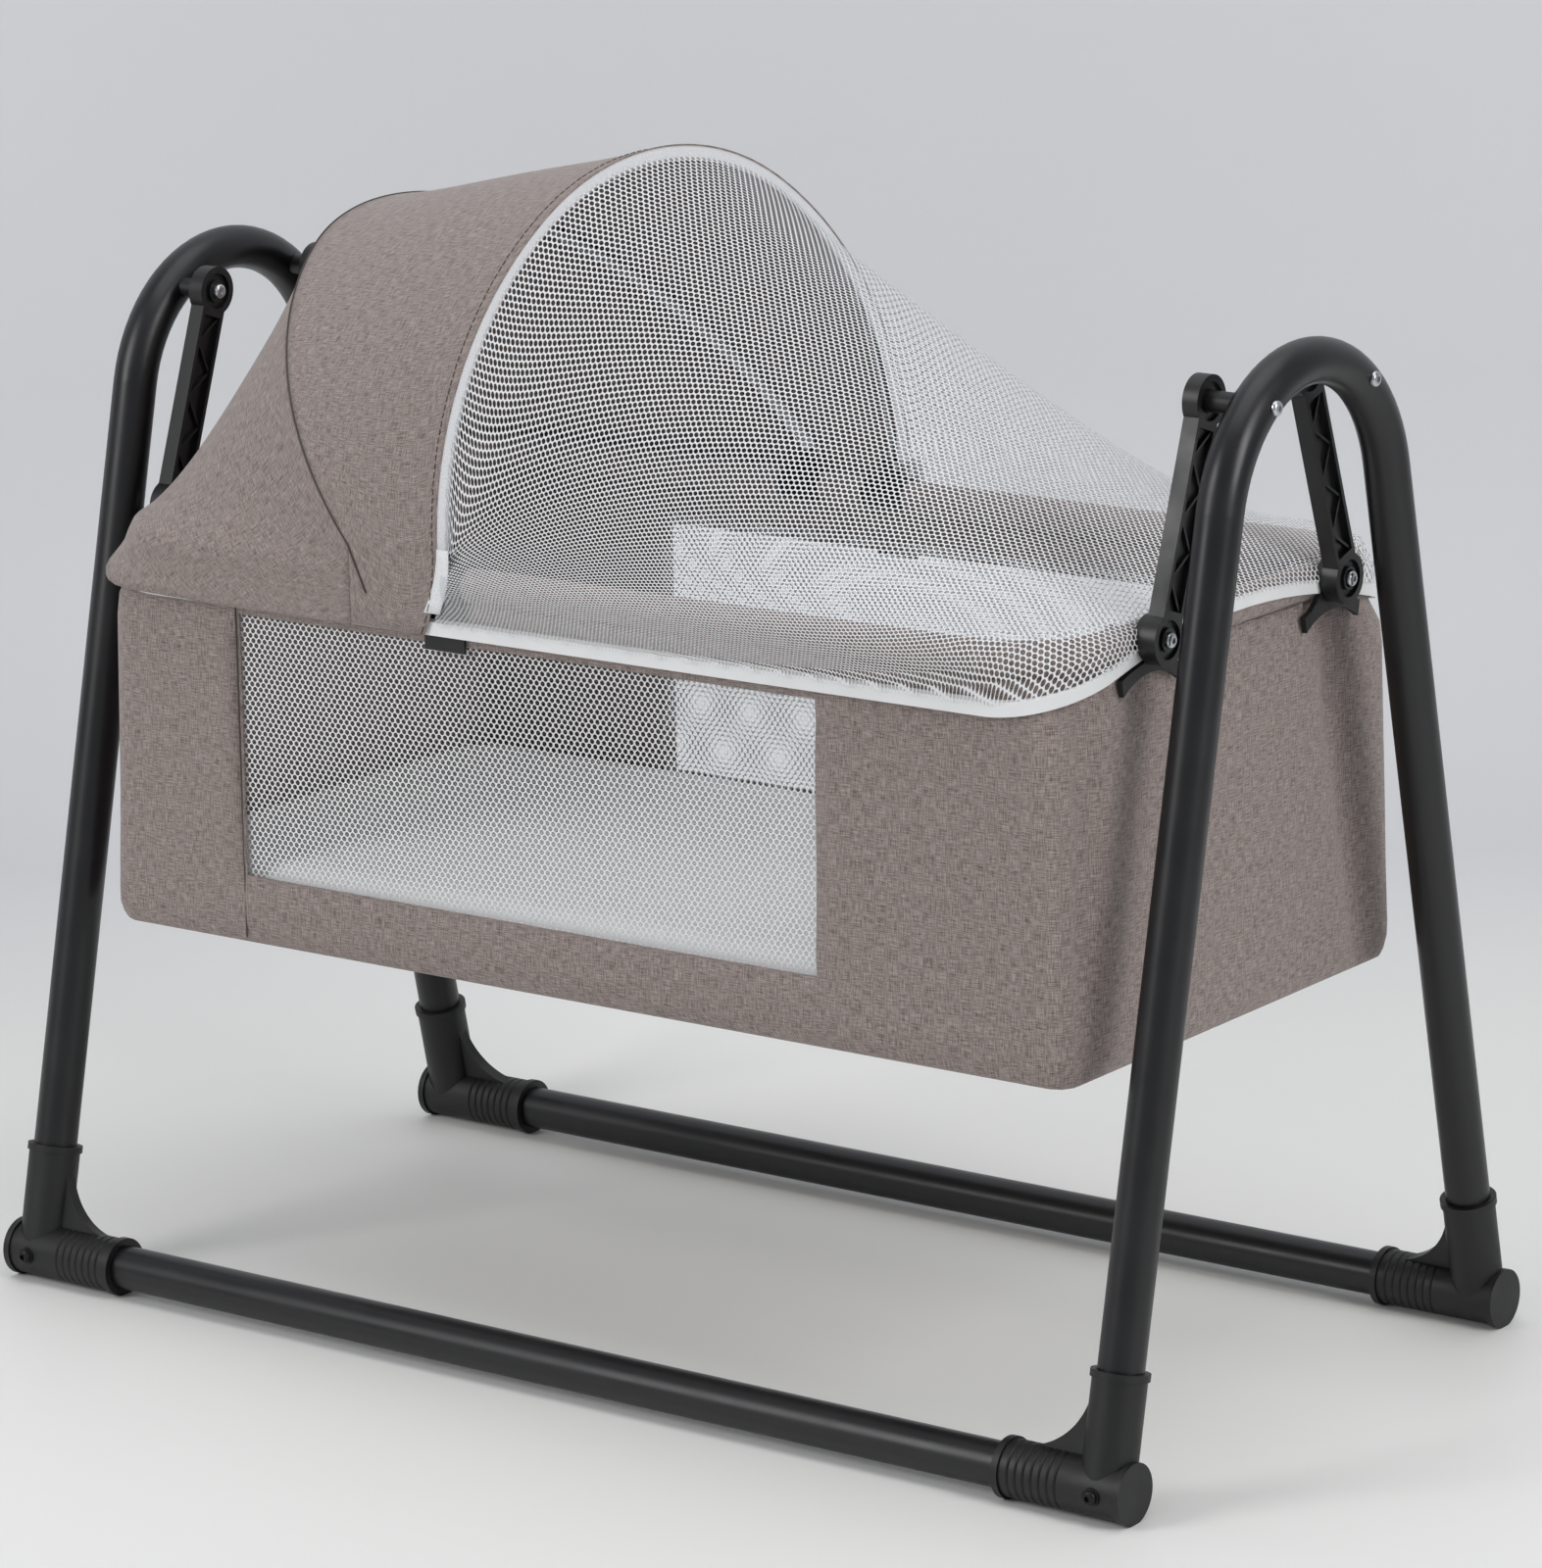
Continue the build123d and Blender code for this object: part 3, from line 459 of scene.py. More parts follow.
def wall_point(column, row):
    """Wall with its soft folds: gathers below the rim and a slack valley at each foot corner."""
    x, y, out_x, out_y = rings[row][column]
    z = levels[row]
    up = (z - cover_low) / (hem_z - cover_low)
    swell = 1.3 * noise.noise(Vector((x * 0.008, y * 0.008, z * 0.007)))
    swell += 4.0 * bell(z, 300, 60) * bell(x, 120, 260) * bell(abs(y), half_w, 10)
    slack = 0.35 + 0.65 * min(up, 1.0)
    if y < near_fold_y and x > corner_fold_x:
        drift = (z - lean_z) * 0.06 + 5 * sin(z * 0.02)
        swell -= 2.5 * bell(x - drift, 350, 22) * slack
        swell -= 3.0 * bell(x + (z - lean_z) * 0.35, 262, 13) * bell(z, 500, 75)
        swell -= 2.2 * bell(x + (z - lean_z) * 0.55, 300, 12) * bell(z, 480, 60)
        tucks = bell(x, 310, 65) * max(0.0, min(1.0, (z - 470) / 40)) * min(1.0, (552 - z) / 12)
        swell += 1.8 * tucks * sin((x + (z - 520) * 0.35) * 2 * pi / 24)
    if x > foot_end_x:
        low = (540 - z) / 240
        drawn_in = min(1.0, max(0.25, (z - 290) / 70)) * min(1.0, 0.4 + (548 - z) / 50)
        swell -= 9.0 * bell(y, -186 - 4 * low, 12) * drawn_in
        swell += 2.5 * bell(y, -150 - 8 * low, 16) * slack
        swell -= 8.5 * bell(y, 112 + 52 * low, 15) * min(1.0, 1.2 - 0.5 * low)
        swell += 3.0 * bell(y, 84 + 52 * low, 18) * slack
        swell -= 2.0 * bell(y - (z - lean_z) * 0.5, -40, 16) * bell(z, 430, 60)
        swell += 1.0 * bell(abs(y), 60, 70) * sin(y * 0.05 + z * 0.01) * up
    if x < head_end_x:
        swell -= 3.0 * bell(abs(y), 150, 26) * up
    swell *= min(1.0, (z - cover_low) / 12)
    near_edge = min(abs(z - window_low), abs(z - window_high)) if abs(y) > 200 else 50
    swell *= 1.0 if near_edge > calm_edge or x > 240 else 0.4
    swell = min(swell, most_swell)
    return x + out_x * swell, y + out_y * swell, z


cover, cells = sheet_grid(
    station_count,
    len(levels) - 1,
    wall_point,
    lambda column, row: (run[column] * mm, levels[row] * mm),
)


def in_window(face):
    middle = face.calc_center_median() / mm
    if not window_low < middle.z < window_high or abs(middle.y) < 195:
        return False
    window = near_window if middle.y < 0 else far_window
    return window[0] < middle.x < window[1]


bmesh.ops.delete(cover, geom=[face for face in cover.faces if in_window(face)], context="FACES")
bmesh.ops.remove_doubles(cover, verts=cover.verts, dist=0.0001)
floor_edge = [edge for edge in cover.edges if edge.is_boundary]
floor_edge = [edge for edge in floor_edge if max(v.co.z for v in edge.verts) < 276 * mm]
floor_face = bmesh.ops.contextual_create(cover, geom=floor_edge)["faces"]
cloth_map = cover.loops.layers.uv["cloth"]
for face in floor_face:
    for corner in face.loops:
        corner[cloth_map].uv = corner.vert.co.xy
bmesh.ops.recalc_face_normals(cover, faces=cover.faces)
basket_wall = finish_piece("basket_wall", cover, [melange])
give_thickness(basket_wall, 1.6, -1.0)
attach(basket_wall, "basket")
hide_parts("basket_cover")

# Rim casing: the top of the cover turned over the rim tube and sewn down, slightly puckered.
casing_round = 20


def rim_outline(steps_side, steps_end, steps_corner, grow=0.0, round_r=rim_corner):
    """Closed path of the rim with outward directions, from the middle of the near side."""
    reach_x = rim_half_l + grow
    reach_y = rim_half_w + grow
    radius = round_r + grow
    path = []

    def straight(start, finish, out, steps):
        for step in range(steps):
            share = step / steps
            x = start[0] + (finish[0] - start[0]) * share
            y = start[1] + (finish[1] - start[1]) * share
            path.append((x, y, out[0], out[1]))

    def bend(centre, first, steps):
        for step in range(steps):
            angle = first + pi / 2 * step / steps
            out = (cos(angle), sin(angle))
            path.append((centre[0] + radius * out[0], centre[1] + radius * out[1], *out))

    flat_x = reach_x - radius
    flat_y = reach_y - radius
    straight((0, -reach_y), (flat_x, -reach_y), (0, -1), steps_side)
    bend((flat_x, -flat_y), -pi / 2, steps_corner)
    straight((reach_x, -flat_y), (reach_x, flat_y), (1, 0), steps_end)
    bend((flat_x, flat_y), 0.0, steps_corner)
    straight((flat_x, reach_y), (-flat_x, reach_y), (0, 1), 2 * steps_side)
    bend((-flat_x, flat_y), pi / 2, steps_corner)
    straight((-reach_x, flat_y), (-reach_x, -flat_y), (-1, 0), steps_end)
    bend((-flat_x, -flat_y), pi, steps_corner)
    straight((-flat_x, -reach_y), (0, -reach_y), (0, -1), steps_side)
    path.append(path[0])
    return path


def path_lengths(path):
    lengths = [0.0]
    for here, there in zip(path, path[1:]):
        lengths.append(lengths[-1] + hypot(there[0] - here[0], there[1] - here[1]))
    return lengths


rim_path = rim_outline(34, 26, 16)
rim_run = path_lengths(rim_path)


def casing_point(column, row):
    x, y, out_x, out_y = rim_path[column]
    angle = 2 * pi * row / casing_round
    pucker = 0.35 * sin(rim_run[column] / 9.0) * (0.5 - 0.5 * sin(angle))
    reach = casing_r - 0.3 + pucker * 0.6
    return (
        x + out_x * reach * cos(angle),
        y + out_y * reach * cos(angle),
        rim_z + reach * sin(angle),
    )


casing, cells = sheet_grid(
    len(rim_path) - 1,
    casing_round,
    casing_point,
    lambda column, row: (rim_run[column] * mm, row * 4.0 * mm),
)
bmesh.ops.remove_doubles(casing, verts=casing.verts, dist=0.0001)
bmesh.ops.recalc_face_normals(casing, faces=casing.faces)
rim_casing = finish_piece("rim_casing", casing, [melange])
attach(rim_casing, "basket")

# Window nets: white warp-knitted net with small oval holes, sewn behind each opening.
net_holes, holes_in, holes_out = open_group(
    "net_holes",
    [
        ("Cloth", "Vector", None),
        ("Pitch across", "Float", 0.0052),
        ("Pitch up", "Float", 0.0071),
        ("Hole", "Float", 0.356),
    ],
    [("Thread", "Float"), ("Normal", "Vector")],
)
pitch = place(
    net_holes,
    "CombineXYZ",
    [
        ("X", holes_in.outputs["Pitch across"]),
        ("Y", holes_in.outputs["Pitch up"]),
        ("Z", 1.0),
    ],
)
counted = place(
    net_holes,
    "VectorMath",
    [(0, holes_in.outputs["Cloth"]), (1, pitch.outputs[0])],
    operation="DIVIDE",
)
distances = []
for shift in ((0.0, 0.0, 0.0), (0.5, 0.5, 0.0)):
    moved = place(
        net_holes, "VectorMath", [(0, counted.outputs[0]), (1, shift)], operation="ADD"
    )
    cell = place(net_holes, "VectorMath", [(0, moved.outputs[0])], operation="FRACTION")
    centred = place(
        net_holes, "VectorMath", [(0, cell.outputs[0]), (1, (0.5, 0.5, 0.0))], operation="SUBTRACT"
    )
    flat = place(
        net_holes,
        "VectorMath",
        [(0, centred.outputs[0]), (1, (1.0, 1.4, 0.0))],
        operation="MULTIPLY",
    )
    distances.append(
        place(net_holes, "VectorMath", [(0, flat.outputs[0])], operation="LENGTH")
    )
nearest = place(
    net_holes,
    "Math",
    [(0, distances[0].outputs["Value"]), (1, distances[1].outputs["Value"])],
    operation="MINIMUM",
)
past_edge = place(
    net_holes,
    "Math",
    [(0, nearest.outputs[0]), (1, holes_in.outputs["Hole"])],
    operation="SUBTRACT",
)
thread_mask = place(
    net_holes,
    "MapRange",
    [("Value", past_edge.outputs[0]), ("From Min", -0.02), ("From Max", 0.02)],
)
thread_round = place(
    net_holes,
    "Bump",
    [("Height", past_edge.outputs[0]), ("Strength", 0.6), ("Distance", 0.0008)],
)
net_holes.links.new(thread_mask.outputs[0], holes_out.inputs["Thread"])
net_holes.links.new(thread_round.outputs["Normal"], holes_out.inputs["Normal"])


def net_finish(name, colour, across, up, hole):
    material = bpy.data.materials.new(name)
    material.use_nodes = True
    tree = material.node_tree
    shader = tree.nodes["Principled BSDF"]
    cloth_map = place(tree, "UVMap", uv_map="cloth")
    texture = place(tree, "Group", node_tree=net_holes)
    tree.links.new(cloth_map.outputs[0], texture.inputs["Cloth"])
    texture.inputs["Pitch across"].default_value = across
    texture.inputs["Pitch up"].default_value = up
    texture.inputs["Hole"].default_value = hole
    yarn = place(tree, "TexNoise", [("Vector", cloth_map.outputs[0]), ("Scale", 900.0)])
    tone = place(
        tree,
        "MixRGB",
        [
            ("Fac", yarn.outputs["Fac"]),
            ("Color1", colour),
            ("Color2", tuple(0.9 * c for c in colour[:3]) + (1.0,)),
        ],
    )
    tree.links.new(tone.outputs[0], shader.inputs["Base Color"])
    tree.links.new(texture.outputs["Thread"], shader.inputs["Alpha"])
    tree.links.new(texture.outputs["Normal"], shader.inputs["Normal"])
    shader.inputs["Roughness"].default_value = 0.6
    shader.inputs["Sheen Weight"].default_value = 0.15
    return material


window_white = net_finish("window_net_white", srgb(228, 229, 231), 0.0052, 0.0071, 0.356)
net_half_h = (window_high - window_low) / 2 + 8
for window_name, window, face_y in (
    ("near_window_mesh", near_window, -208.4),
    ("far_window_mesh", far_window, 208.4),
):
    middle_x = (window[0] + window[1]) / 2
    half_span = (window[1] - window[0]) / 2 + 8
    side = 1 if face_y > 0 else -1

    def window_point(column, row):
        across = column / 30 * 2 - 1
        up = row / 12 * 2 - 1
        slack = 1.6 * (1 - across * across) * (1 - up * up)
        x = middle_x + across * half_span
        z = (window_low + window_high) / 2 + up * net_half_h
        return x, face_y - side * slack * (1 + noise.noise(Vector((x, z, 0)) * 0.02)), z

    mesh_cloth, cells = sheet_grid(
        30,
        12,
        window_point,
        lambda column, row: (column / 30 * 2 * half_span * mm, row / 12 * 2 * net_half_h * mm),
    )
    window_mesh = finish_piece(window_name, mesh_cloth, [window_white])
    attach(window_mesh, "basket")
    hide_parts(window_name.replace("_mesh", "_net"))

# Canopy: melange fabric over two wire hoops, in two gores that meet on the rear hoop.
# The hoops' feet are further back on the near side, so the whole canopy stands askew.
near_foot_x = -95.0
far_foot_x = -12.0
foot_y = 208.0
foot_z = 582.0
mid_back = 75.0
front_lean = radians(2.0)
mid_lean = radians(46.4)
skin_w = 223.0
skin_l = 422.4
front_rise = 261.0
front_top_r = 190.0
mid_rise = 290.0
mid_top_r = 165.0
eave_z = 573.0
band_side_z = 535.0
band_end_z = 568.0
band_half_h = 4.5

hinge_along = Vector((far_foot_x - near_foot_x, 2 * foot_y, 0)).normalized()
hinge_ahead = hinge_along.cross(Vector((0, 0, 1)))
front_middle = Vector(((near_foot_x + far_foot_x) / 2, 0, foot_z))
mid_middle = front_middle - Vector((mid_back, 0, 0))
skin_u = skin_w / hinge_along.y
band_rise = band_end_z - band_side_z
band_r = (rim_half_w**2 + band_rise**2) / (2 * band_rise)


def band_top(y):
    """Height of the zip band's upper edge, which follows one large arc across the basket."""
    return band_end_z - band_r + sqrt(band_r**2 - y * y) + band_half_h + 0.3


def arch(half, rise, top_r, share):
    """Point of a three-arc arch at a share of its length, as across and up."""
    side_r = (half**2 + (rise - top_r) ** 2 - top_r**2) / (2 * (half - top_r))
    turn = atan2(rise - top_r, side_r - half)
    side_run = side_r * turn
    top_run = top_r * (pi / 2 - turn)
    gone = abs(1 - abs(2 * share - 1)) * (side_run + top_run)
    sign = -1 if share < 0.5 else 1
    if gone < side_run:
        angle = gone / side_r
        return sign * (half - side_r + side_r * cos(angle)), side_r * sin(angle)
    angle = turn + (gone - side_run) / top_r
    return sign * top_r * cos(angle), rise - top_r + top_r * sin(angle)


def on_hoop(middle, lean, half, rise, top_r, share):
    across, up = arch(half, rise, top_r, share)
    rise_way = Vector((0, 0, 1)) * cos(lean) - hinge_ahead * sin(lean)
    return middle + hinge_along * across + rise_way * up


def front_hoop_line(share, inset=0.0):
    return on_hoop(front_middle, front_lean, skin_u - inset, front_rise - inset, front_top_r, share)


def mid_hoop_line(share, inset=0.0):
    return on_hoop(mid_middle, mid_lean, skin_u - inset, mid_rise - inset, mid_top_r, share)


def u_curve(start_x, finish_x, toward, share, grow, corner):
    """Point on the path at the hem from the near side round one end to the far side."""
    reach_x = skin_l + grow
    reach_y = skin_w + grow
    flat_x = reach_x - corner
    flat_y = reach_y - corner
    legs = (
        abs(toward * flat_x - start_x),
        corner * pi / 2,
        2 * flat_y,
        corner * pi / 2,
        abs(toward * flat_x - finish_x),
    )
    gone = share * sum(legs)
    if gone <= legs[0]:
        return Vector((start_x + toward * gone, -reach_y, eave_z))
    gone -= legs[0]
    if gone <= legs[1]:
        angle = gone / corner
        across, aside = sin(angle), -cos(angle)
        return Vector(
            (toward * (flat_x + corner * across), -flat_y + corner * aside, eave_z)
        )
    gone -= legs[1]
    if gone <= legs[2]:
        return Vector((toward * reach_x, -flat_y + gone, eave_z))
    gone -= legs[2]
    if gone <= legs[3]:
        angle = gone / corner
        return Vector(
            (toward * (flat_x + corner * cos(angle)), flat_y + corner * sin(angle), eave_z)
        )
    gone -= legs[3]
    return Vector((toward * (flat_x - gone), reach_y, eave_z))


def settle(cloth, held, rounds, clear=16.0):
    """Pulls free points taut between the held ones, and keeps them off the padded rim."""
    free = [point for point in cloth.verts if point not in held]
    for turn in range(rounds):
        bmesh.ops.smooth_vert(
            cloth, verts=free, factor=0.5, use_axis_x=True, use_axis_y=True, use_axis_z=True
        )
        if turn % 4 < 3 and turn < rounds - 1:
            continue
        for point in free:
            x, y, z = point.co / mm
            past_x = max(abs(x) - rim_half_l + rim_corner, 0.0)
            past_y = max(abs(y) - rim_half_w + rim_corner, 0.0)
            from_arc = hypot(past_x, past_y)
            if from_arc < 1.0 or not -40 < z - rim_z < 25:
                continue
            outside = from_arc - rim_corner
            near = hypot(outside, z - rim_z)
            if -60 < outside < 3 and z < rim_z + clear:
                top = rim_z + sqrt(max(clear**2 - outside**2, 9.0))
                point.co.z = max(point.co.z, top * mm)
            elif -clear < outside and near < clear:
                grow = outside * (clear / max(near, 1.0) - 1)
                point.co.x += grow * past_x / from_arc * (1 if x > 0 else -1) * mm
                point.co.y += grow * past_y / from_arc * (1 if y > 0 else -1) * mm
                point.co.z += (z - rim_z) * (clear / max(near, 1.0) - 1) * mm


def true_map(cloth, cells, columns, rows):
    """Rewrites the cloth map from measured lengths along the middle row and column."""
    places = {cell: point.co.copy() for point, cell in cells.items()}
    cloth_map = cloth.loops.layers.uv["cloth"]
    across = {}
    for row in range(rows + 1):
        run_here = 0.0
        line = [0.0]
        for column in range(columns):
            run_here += (places[column + 1, row] - places[column, row]).length
            line.append(run_here)
        across[row] = [value - run_here / 2 for value in line]
    along = {}
    for column in range(columns + 1):
        run_here = 0.0
        along[column] = [0.0]
        for row in range(rows):
            run_here += (places[column, row + 1] - places[column, row]).length
            along[column].append(run_here)
    for face in cloth.faces:
        for corner in face.loops:
            column, row = cells[corner.vert]
            corner[cloth_map].uv = (across[row][column], along[column][row])


gore_columns = 96
gore_rows = 24
skirt_rows = 5
hem_bits = gore_columns + 2 * skirt_rows


def front_gore_point(column, row):
    """Front gore: columns run over the hoops and end in a short skirt on each side."""
    back = row / gore_rows
    share = min(max((column - skirt_rows) / gore_columns, 0.0), 1.0)
    ahead = front_hoop_line(share) + hinge_ahead * 4.5
    behind = mid_hoop_line(share)
    point = ahead.lerp(behind, back)
    drop = max(skirt_rows - column, column - skirt_rows - gore_columns, 0) / skirt_rows
    if drop:
        low_z = band_top(skin_w) - 8.0
        point.z += (low_z - foot_z) * drop
        cut_back = 13.0 if column < skirt_rows else 8.0
        point.x -= cut_back * drop**2 * (1 - back) ** 2
    return point


front_gore, cells = sheet_grid(
    hem_bits, gore_rows, front_gore_point, lambda column, row: (column * 0.01, row * 0.01)
)
held = [
    point
    for point, (column, row) in cells.items()
    if row in (0, gore_rows) or not skirt_rows < column < skirt_rows + gore_columns
]
settle(front_gore, set(held), 60)
for point, (column, row) in cells.items():
    back = row / gore_rows
    share = (column - skirt_rows) / gore_columns
    if 0 < share < 1 and 0 < row < gore_rows:
        slack = sin(pi * back) * sin(pi * share)
        ripple = 2.2 * noise.noise(Vector((share * 3.2, back * 1.1, 2.0)))
        ripple += 0.7 * noise.noise(Vector((share * 9.0, back * 2.5, 7.0)))
        out = (point.co / mm - Vector((-190, 0, 600))).normalized()
        point.co += out * (ripple * slack) * mm
true_map(front_gore, cells, hem_bits, gore_rows)
hem_line = [None] * (hem_bits + 1)
for point, (column, row) in cells.items():
    if row == 1:
        hem_line[column] = point.co / mm + (point.co / mm - front_middle).normalized() * 0.3
bmesh.ops.recalc_face_normals(front_gore, faces=front_gore.faces)
canopy_front = finish_piece("canopy_front", front_gore, [melange])
give_thickness(canopy_front, 1.1, -1.0)
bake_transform(canopy_front)
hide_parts("canopy_fabric")


def back_gore_point(column, row):
    """Back gore: from the rear hoop down to the hem, which flares at the head corners."""
    share = column / gore_columns
    start = mid_hoop_line(share)
    near_x = mid_middle.x - skin_w / hinge_along.y * hinge_along.x
    far_x = mid_middle.x + skin_w / hinge_along.y * hinge_along.x
    hem = u_curve(near_x, far_x, -1, share, 0.6, 58.0)
    flare = 9.0 * bell(hem.x, -392, 45) * bell(abs(hem.y), 190, 60)
    away = Vector((hem.x + 330, hem.y * 0.7, 0)).normalized() if hem.x < -330 else Vector()
    hem += away * flare
    cover_band = 9.0 - 6.0 * bell(hem.x, -422, 80)
    hem.z = band_top(min(abs(hem.y), skin_w)) - cover_band
    down = row / back_rows
    return start.lerp(hem, down)


back_rows = 30
back_gore, cells = sheet_grid(
    gore_columns, back_rows, back_gore_point, lambda column, row: (column * 0.01, row * 0.01)
)
held = [
    point
    for point, (column, row) in cells.items()
    if row in (0, back_rows) or column in (0, gore_columns)
]
settle(back_gore, set(held), 90)
for point, (column, row) in cells.items():
    down = row / back_rows
    share = column / gore_columns
    if 0 < row < back_rows:
        slack = sin(pi * down) * min(1.0, 6 * share, 6 * (1 - share))
        ripple = 2.0 * noise.noise(Vector((share * 4.0, down * 1.4, 12.0)))
        ripple += 1.3 * bell(down, 0.75, 0.2) * sin(share * 2 * pi * 15) * bell(share, 0.2, 0.1)
        out = (point.co / mm - Vector((-300, 0, 560))).normalized()
        point.co += out * (ripple * slack) * mm
true_map(back_gore, cells, gore_columns, back_rows)
bmesh.ops.recalc_face_normals(back_gore, faces=back_gore.faces)
canopy_back = finish_piece("canopy_back", back_gore, [melange])
give_thickness(canopy_back, 1.1, -1.0)
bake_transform(canopy_back)

# Zip-on net: one piece of the same knitted net, stretched from the canopy's edge to the foot end.
# It sags between them, and hangs over the rim to the zip.
zip_white = net_finish("zip_net_white", srgb(228, 229, 231), 0.0052, 0.0071, 0.356)
net_columns = 110
net_rows = 60


def net_point(column, row):
    share = column / net_columns
    near_x = front_middle.x - skin_w / hinge_along.y * hinge_along.x
    far_x = front_middle.x + skin_w / hinge_along.y * hinge_along.x
    start = front_hoop_line(share, 8.0) + hinge_ahead * 4.0
    hem = u_curve(near_x, far_x, 1, share, 0.0, 72.0)
    hem.z = band_top(min(abs(hem.y), skin_w)) - 1.0
    return start.lerp(hem, row / net_rows)


zip_cloth, cells = sheet_grid(
    net_columns, net_rows, net_point, lambda column, row: (column * 0.01, row * 0.01)
)
held = [
    point
    for point, (column, row) in cells.items()
    if row in (0, net_rows) or column in (0, net_columns)
]
settle(zip_cloth, set(held), 420, 19.5)
true_map(zip_cloth, cells, net_columns, net_rows)
bmesh.ops.recalc_face_normals(zip_cloth, faces=zip_cloth.faces)
zip_mesh = finish_piece("zip_mesh", zip_cloth, [zip_white])
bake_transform(zip_mesh)
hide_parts("zip_net")

# Tapes: a white one joins the net to the canopy's front edge, another holds the rear hoop inside.
# A thin overlap of the net's hem runs down beside the near and far feet.
tape_cloth = cloth_finish(
    "tape_cloth", srgb(238, 238, 240), srgb(214, 214, 216), threads=2400.0, slub=0.5, depth=0.3
)


def edge_tape(name, line, width, ahead, sag):
    def tape_point(column, row):
        share = column / 120
        across = row / 4
        wave = 0.5 * sin(share * 2 * pi * 46) * across
        return line(share, sag + width * across) + hinge_ahead * (ahead + wave)

    strip, cells = sheet_grid(
        120, 4, tape_point, lambda column, row: (column * 0.007, row * width / 4 * mm)
    )
    piece = finish_piece(name, strip, [tape_cloth])
    give_thickness(piece, 0.5)
    return piece


thread_dark = hard_finish(
    "thread_dark", srgb(62, 54, 51), srgb(84, 74, 70), 0.8, 0.9, 0.001, 0.3
)
thread_light = hard_finish(
    "thread_light", srgb(186, 176, 170), srgb(204, 196, 190), 0.7, 0.8, 0.001, 0.3
)


def cord(name, path, radius, material, gaps=0):
    """A thin thread or piping along a path of points, cut into stitches if it has gaps."""
    line = bmesh.new()
    ring_before = None
    for number, point in enumerate(path):
        ahead = path[min(number + 1, len(path) - 1)] - path[max(number - 1, 0)]
        turn = ahead.to_track_quat("Z", "Y").to_matrix().to_4x4()
        place_ring = Matrix.Translation(point * mm) @ turn
        ring = bmesh.ops.create_circle(line, segments=6, radius=radius * mm, matrix=place_ring)
        if ring_before and not (gaps and number % gaps == 0):
            for side in range(6):
                line.faces.new(
                    (
                        ring_before[side],
                        ring_before[(side + 1) % 6],
                        ring["verts"][(side + 1) % 6],
                        ring["verts"][side],
                    )
                )
        ring_before = ring["verts"]
    bmesh.ops.delete(line, geom=[e for e in line.edges if not e.link_faces], context="EDGES")
    return finish_piece(name, line, [material])


seam_path = [mid_hoop_line(step / 120, -0.2) for step in range(121)]
near_run = [Vector((15.0 - 1.5 * step, -0.6, -32.0 + 3.2 * step)) for step in range(10)]
far_run = [Vector((1.5 * step, 0.6, -3.2 * step)) for step in range(1, 11)]
seam_path = [seam_path[0] + drop for drop in near_run] + seam_path
seam_path += [seam_path[-1] + drop for drop in far_run]
hoop_seam = cord("hoop_seam", seam_path, 0.7, thread_dark)
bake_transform(hoop_seam)
for side in (-1, 1):
    corner_seam = cord(
        "corner_seam_" + ("near" if side < 0 else "far"),
        [Vector((288 * side, side * (half_w + 0.5), 280 + 7 * step)) for step in range(37)],
        0.6,
        thread_dark,
    )
    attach(corner_seam, "basket")
    window = near_window if side < 0 else far_window
    window_stitch = cord(
        "window_stitch_" + ("near" if side < 0 else "far"),
        [
            Vector((window[0] - 6 + 2.2 * step, side * (half_w + 0.6), 523.5))
            for step in range(int((window[1] - window[0] + 12) / 2.2))
        ],
        0.4,
        thread_light,
        3,
    )
    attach(window_stitch, "basket")
hem_runs = []
for here, there in zip(hem_line, hem_line[1:]):
    hem_runs += [here.lerp(there, part / 4) for part in range(4)]
hem_stitch = cord("hem_stitch", hem_runs, 0.4, thread_dark, 3)
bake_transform(hem_stitch)

hem_tape = edge_tape("hem_tape", front_hoop_line, 10.5, 4.0, 1.2)
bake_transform(hem_tape)
for side in (-1, 1):
    foot_x = front_hoop_line(0.0 if side < 0 else 1.0).x
    strip_back = 13.0 if side < 0 else 8.0

    def foot_tape_point(column, row):
        down = row / 6
        x = foot_x + 4.6 - strip_back * down**2 + (10.0 + 4.0 * down) * column / 3
        return x, side * (skin_w + 0.9), foot_z + 6.0 - 46.0 * down

    strip, cells = sheet_grid(
        3, 6, foot_tape_point, lambda column, row: (column * 0.004, row * 0.007)
    )
    foot_tape = finish_piece("foot_tape_" + ("near" if side < 0 else "far"), strip, [tape_cloth])
    give_thickness(foot_tape, 0.5)
    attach(foot_tape, "basket")

hoop_tape = edge_tape("hoop_tape", mid_hoop_line, 14.0, 3.4, 3.0)
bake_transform(hoop_tape)

# Mattress: a foam pad in a white woven case.
# Its shape is the solid pad's own, remeshed evenly for a smooth surface. No cloth is simulated.
pad_white = cloth_finish(
    "pad_white", srgb(252, 252, 252), srgb(240, 240, 240), threads=1800.0, slub=0.5, depth=0.2
)
pad_mesh = nodes["mattress"].data.copy()
pad = bpy.data.objects.new("mattress_pad", pad_mesh)
bpy.context.scene.collection.objects.link(pad)
bpy.context.view_layer.objects.active = pad
for item in bpy.context.selected_objects:
    item.select_set(False)
pad.select_set(True)
remesh = pad.modifiers.new("even", "REMESH")
remesh.mode = "VOXEL"
remesh.voxel_size = 0.009
bpy.ops.object.modifier_apply(modifier=remesh.name)
smooth = bmesh.new()
smooth.from_mesh(pad.data)
cloth_map = smooth.loops.layers.uv.new("cloth")
for face in smooth.faces:
    for corner in face.loops:
        x, y, z = corner.vert.co
        corner[cloth_map].uv = (x, y) if abs(face.normal.z) > 0.6 else (x + y, z)
smooth.to_mesh(pad.data)
smooth.free()
pad.data.materials.clear()
pad.data.materials.append(pad_white)
pad.data.shade_smooth()
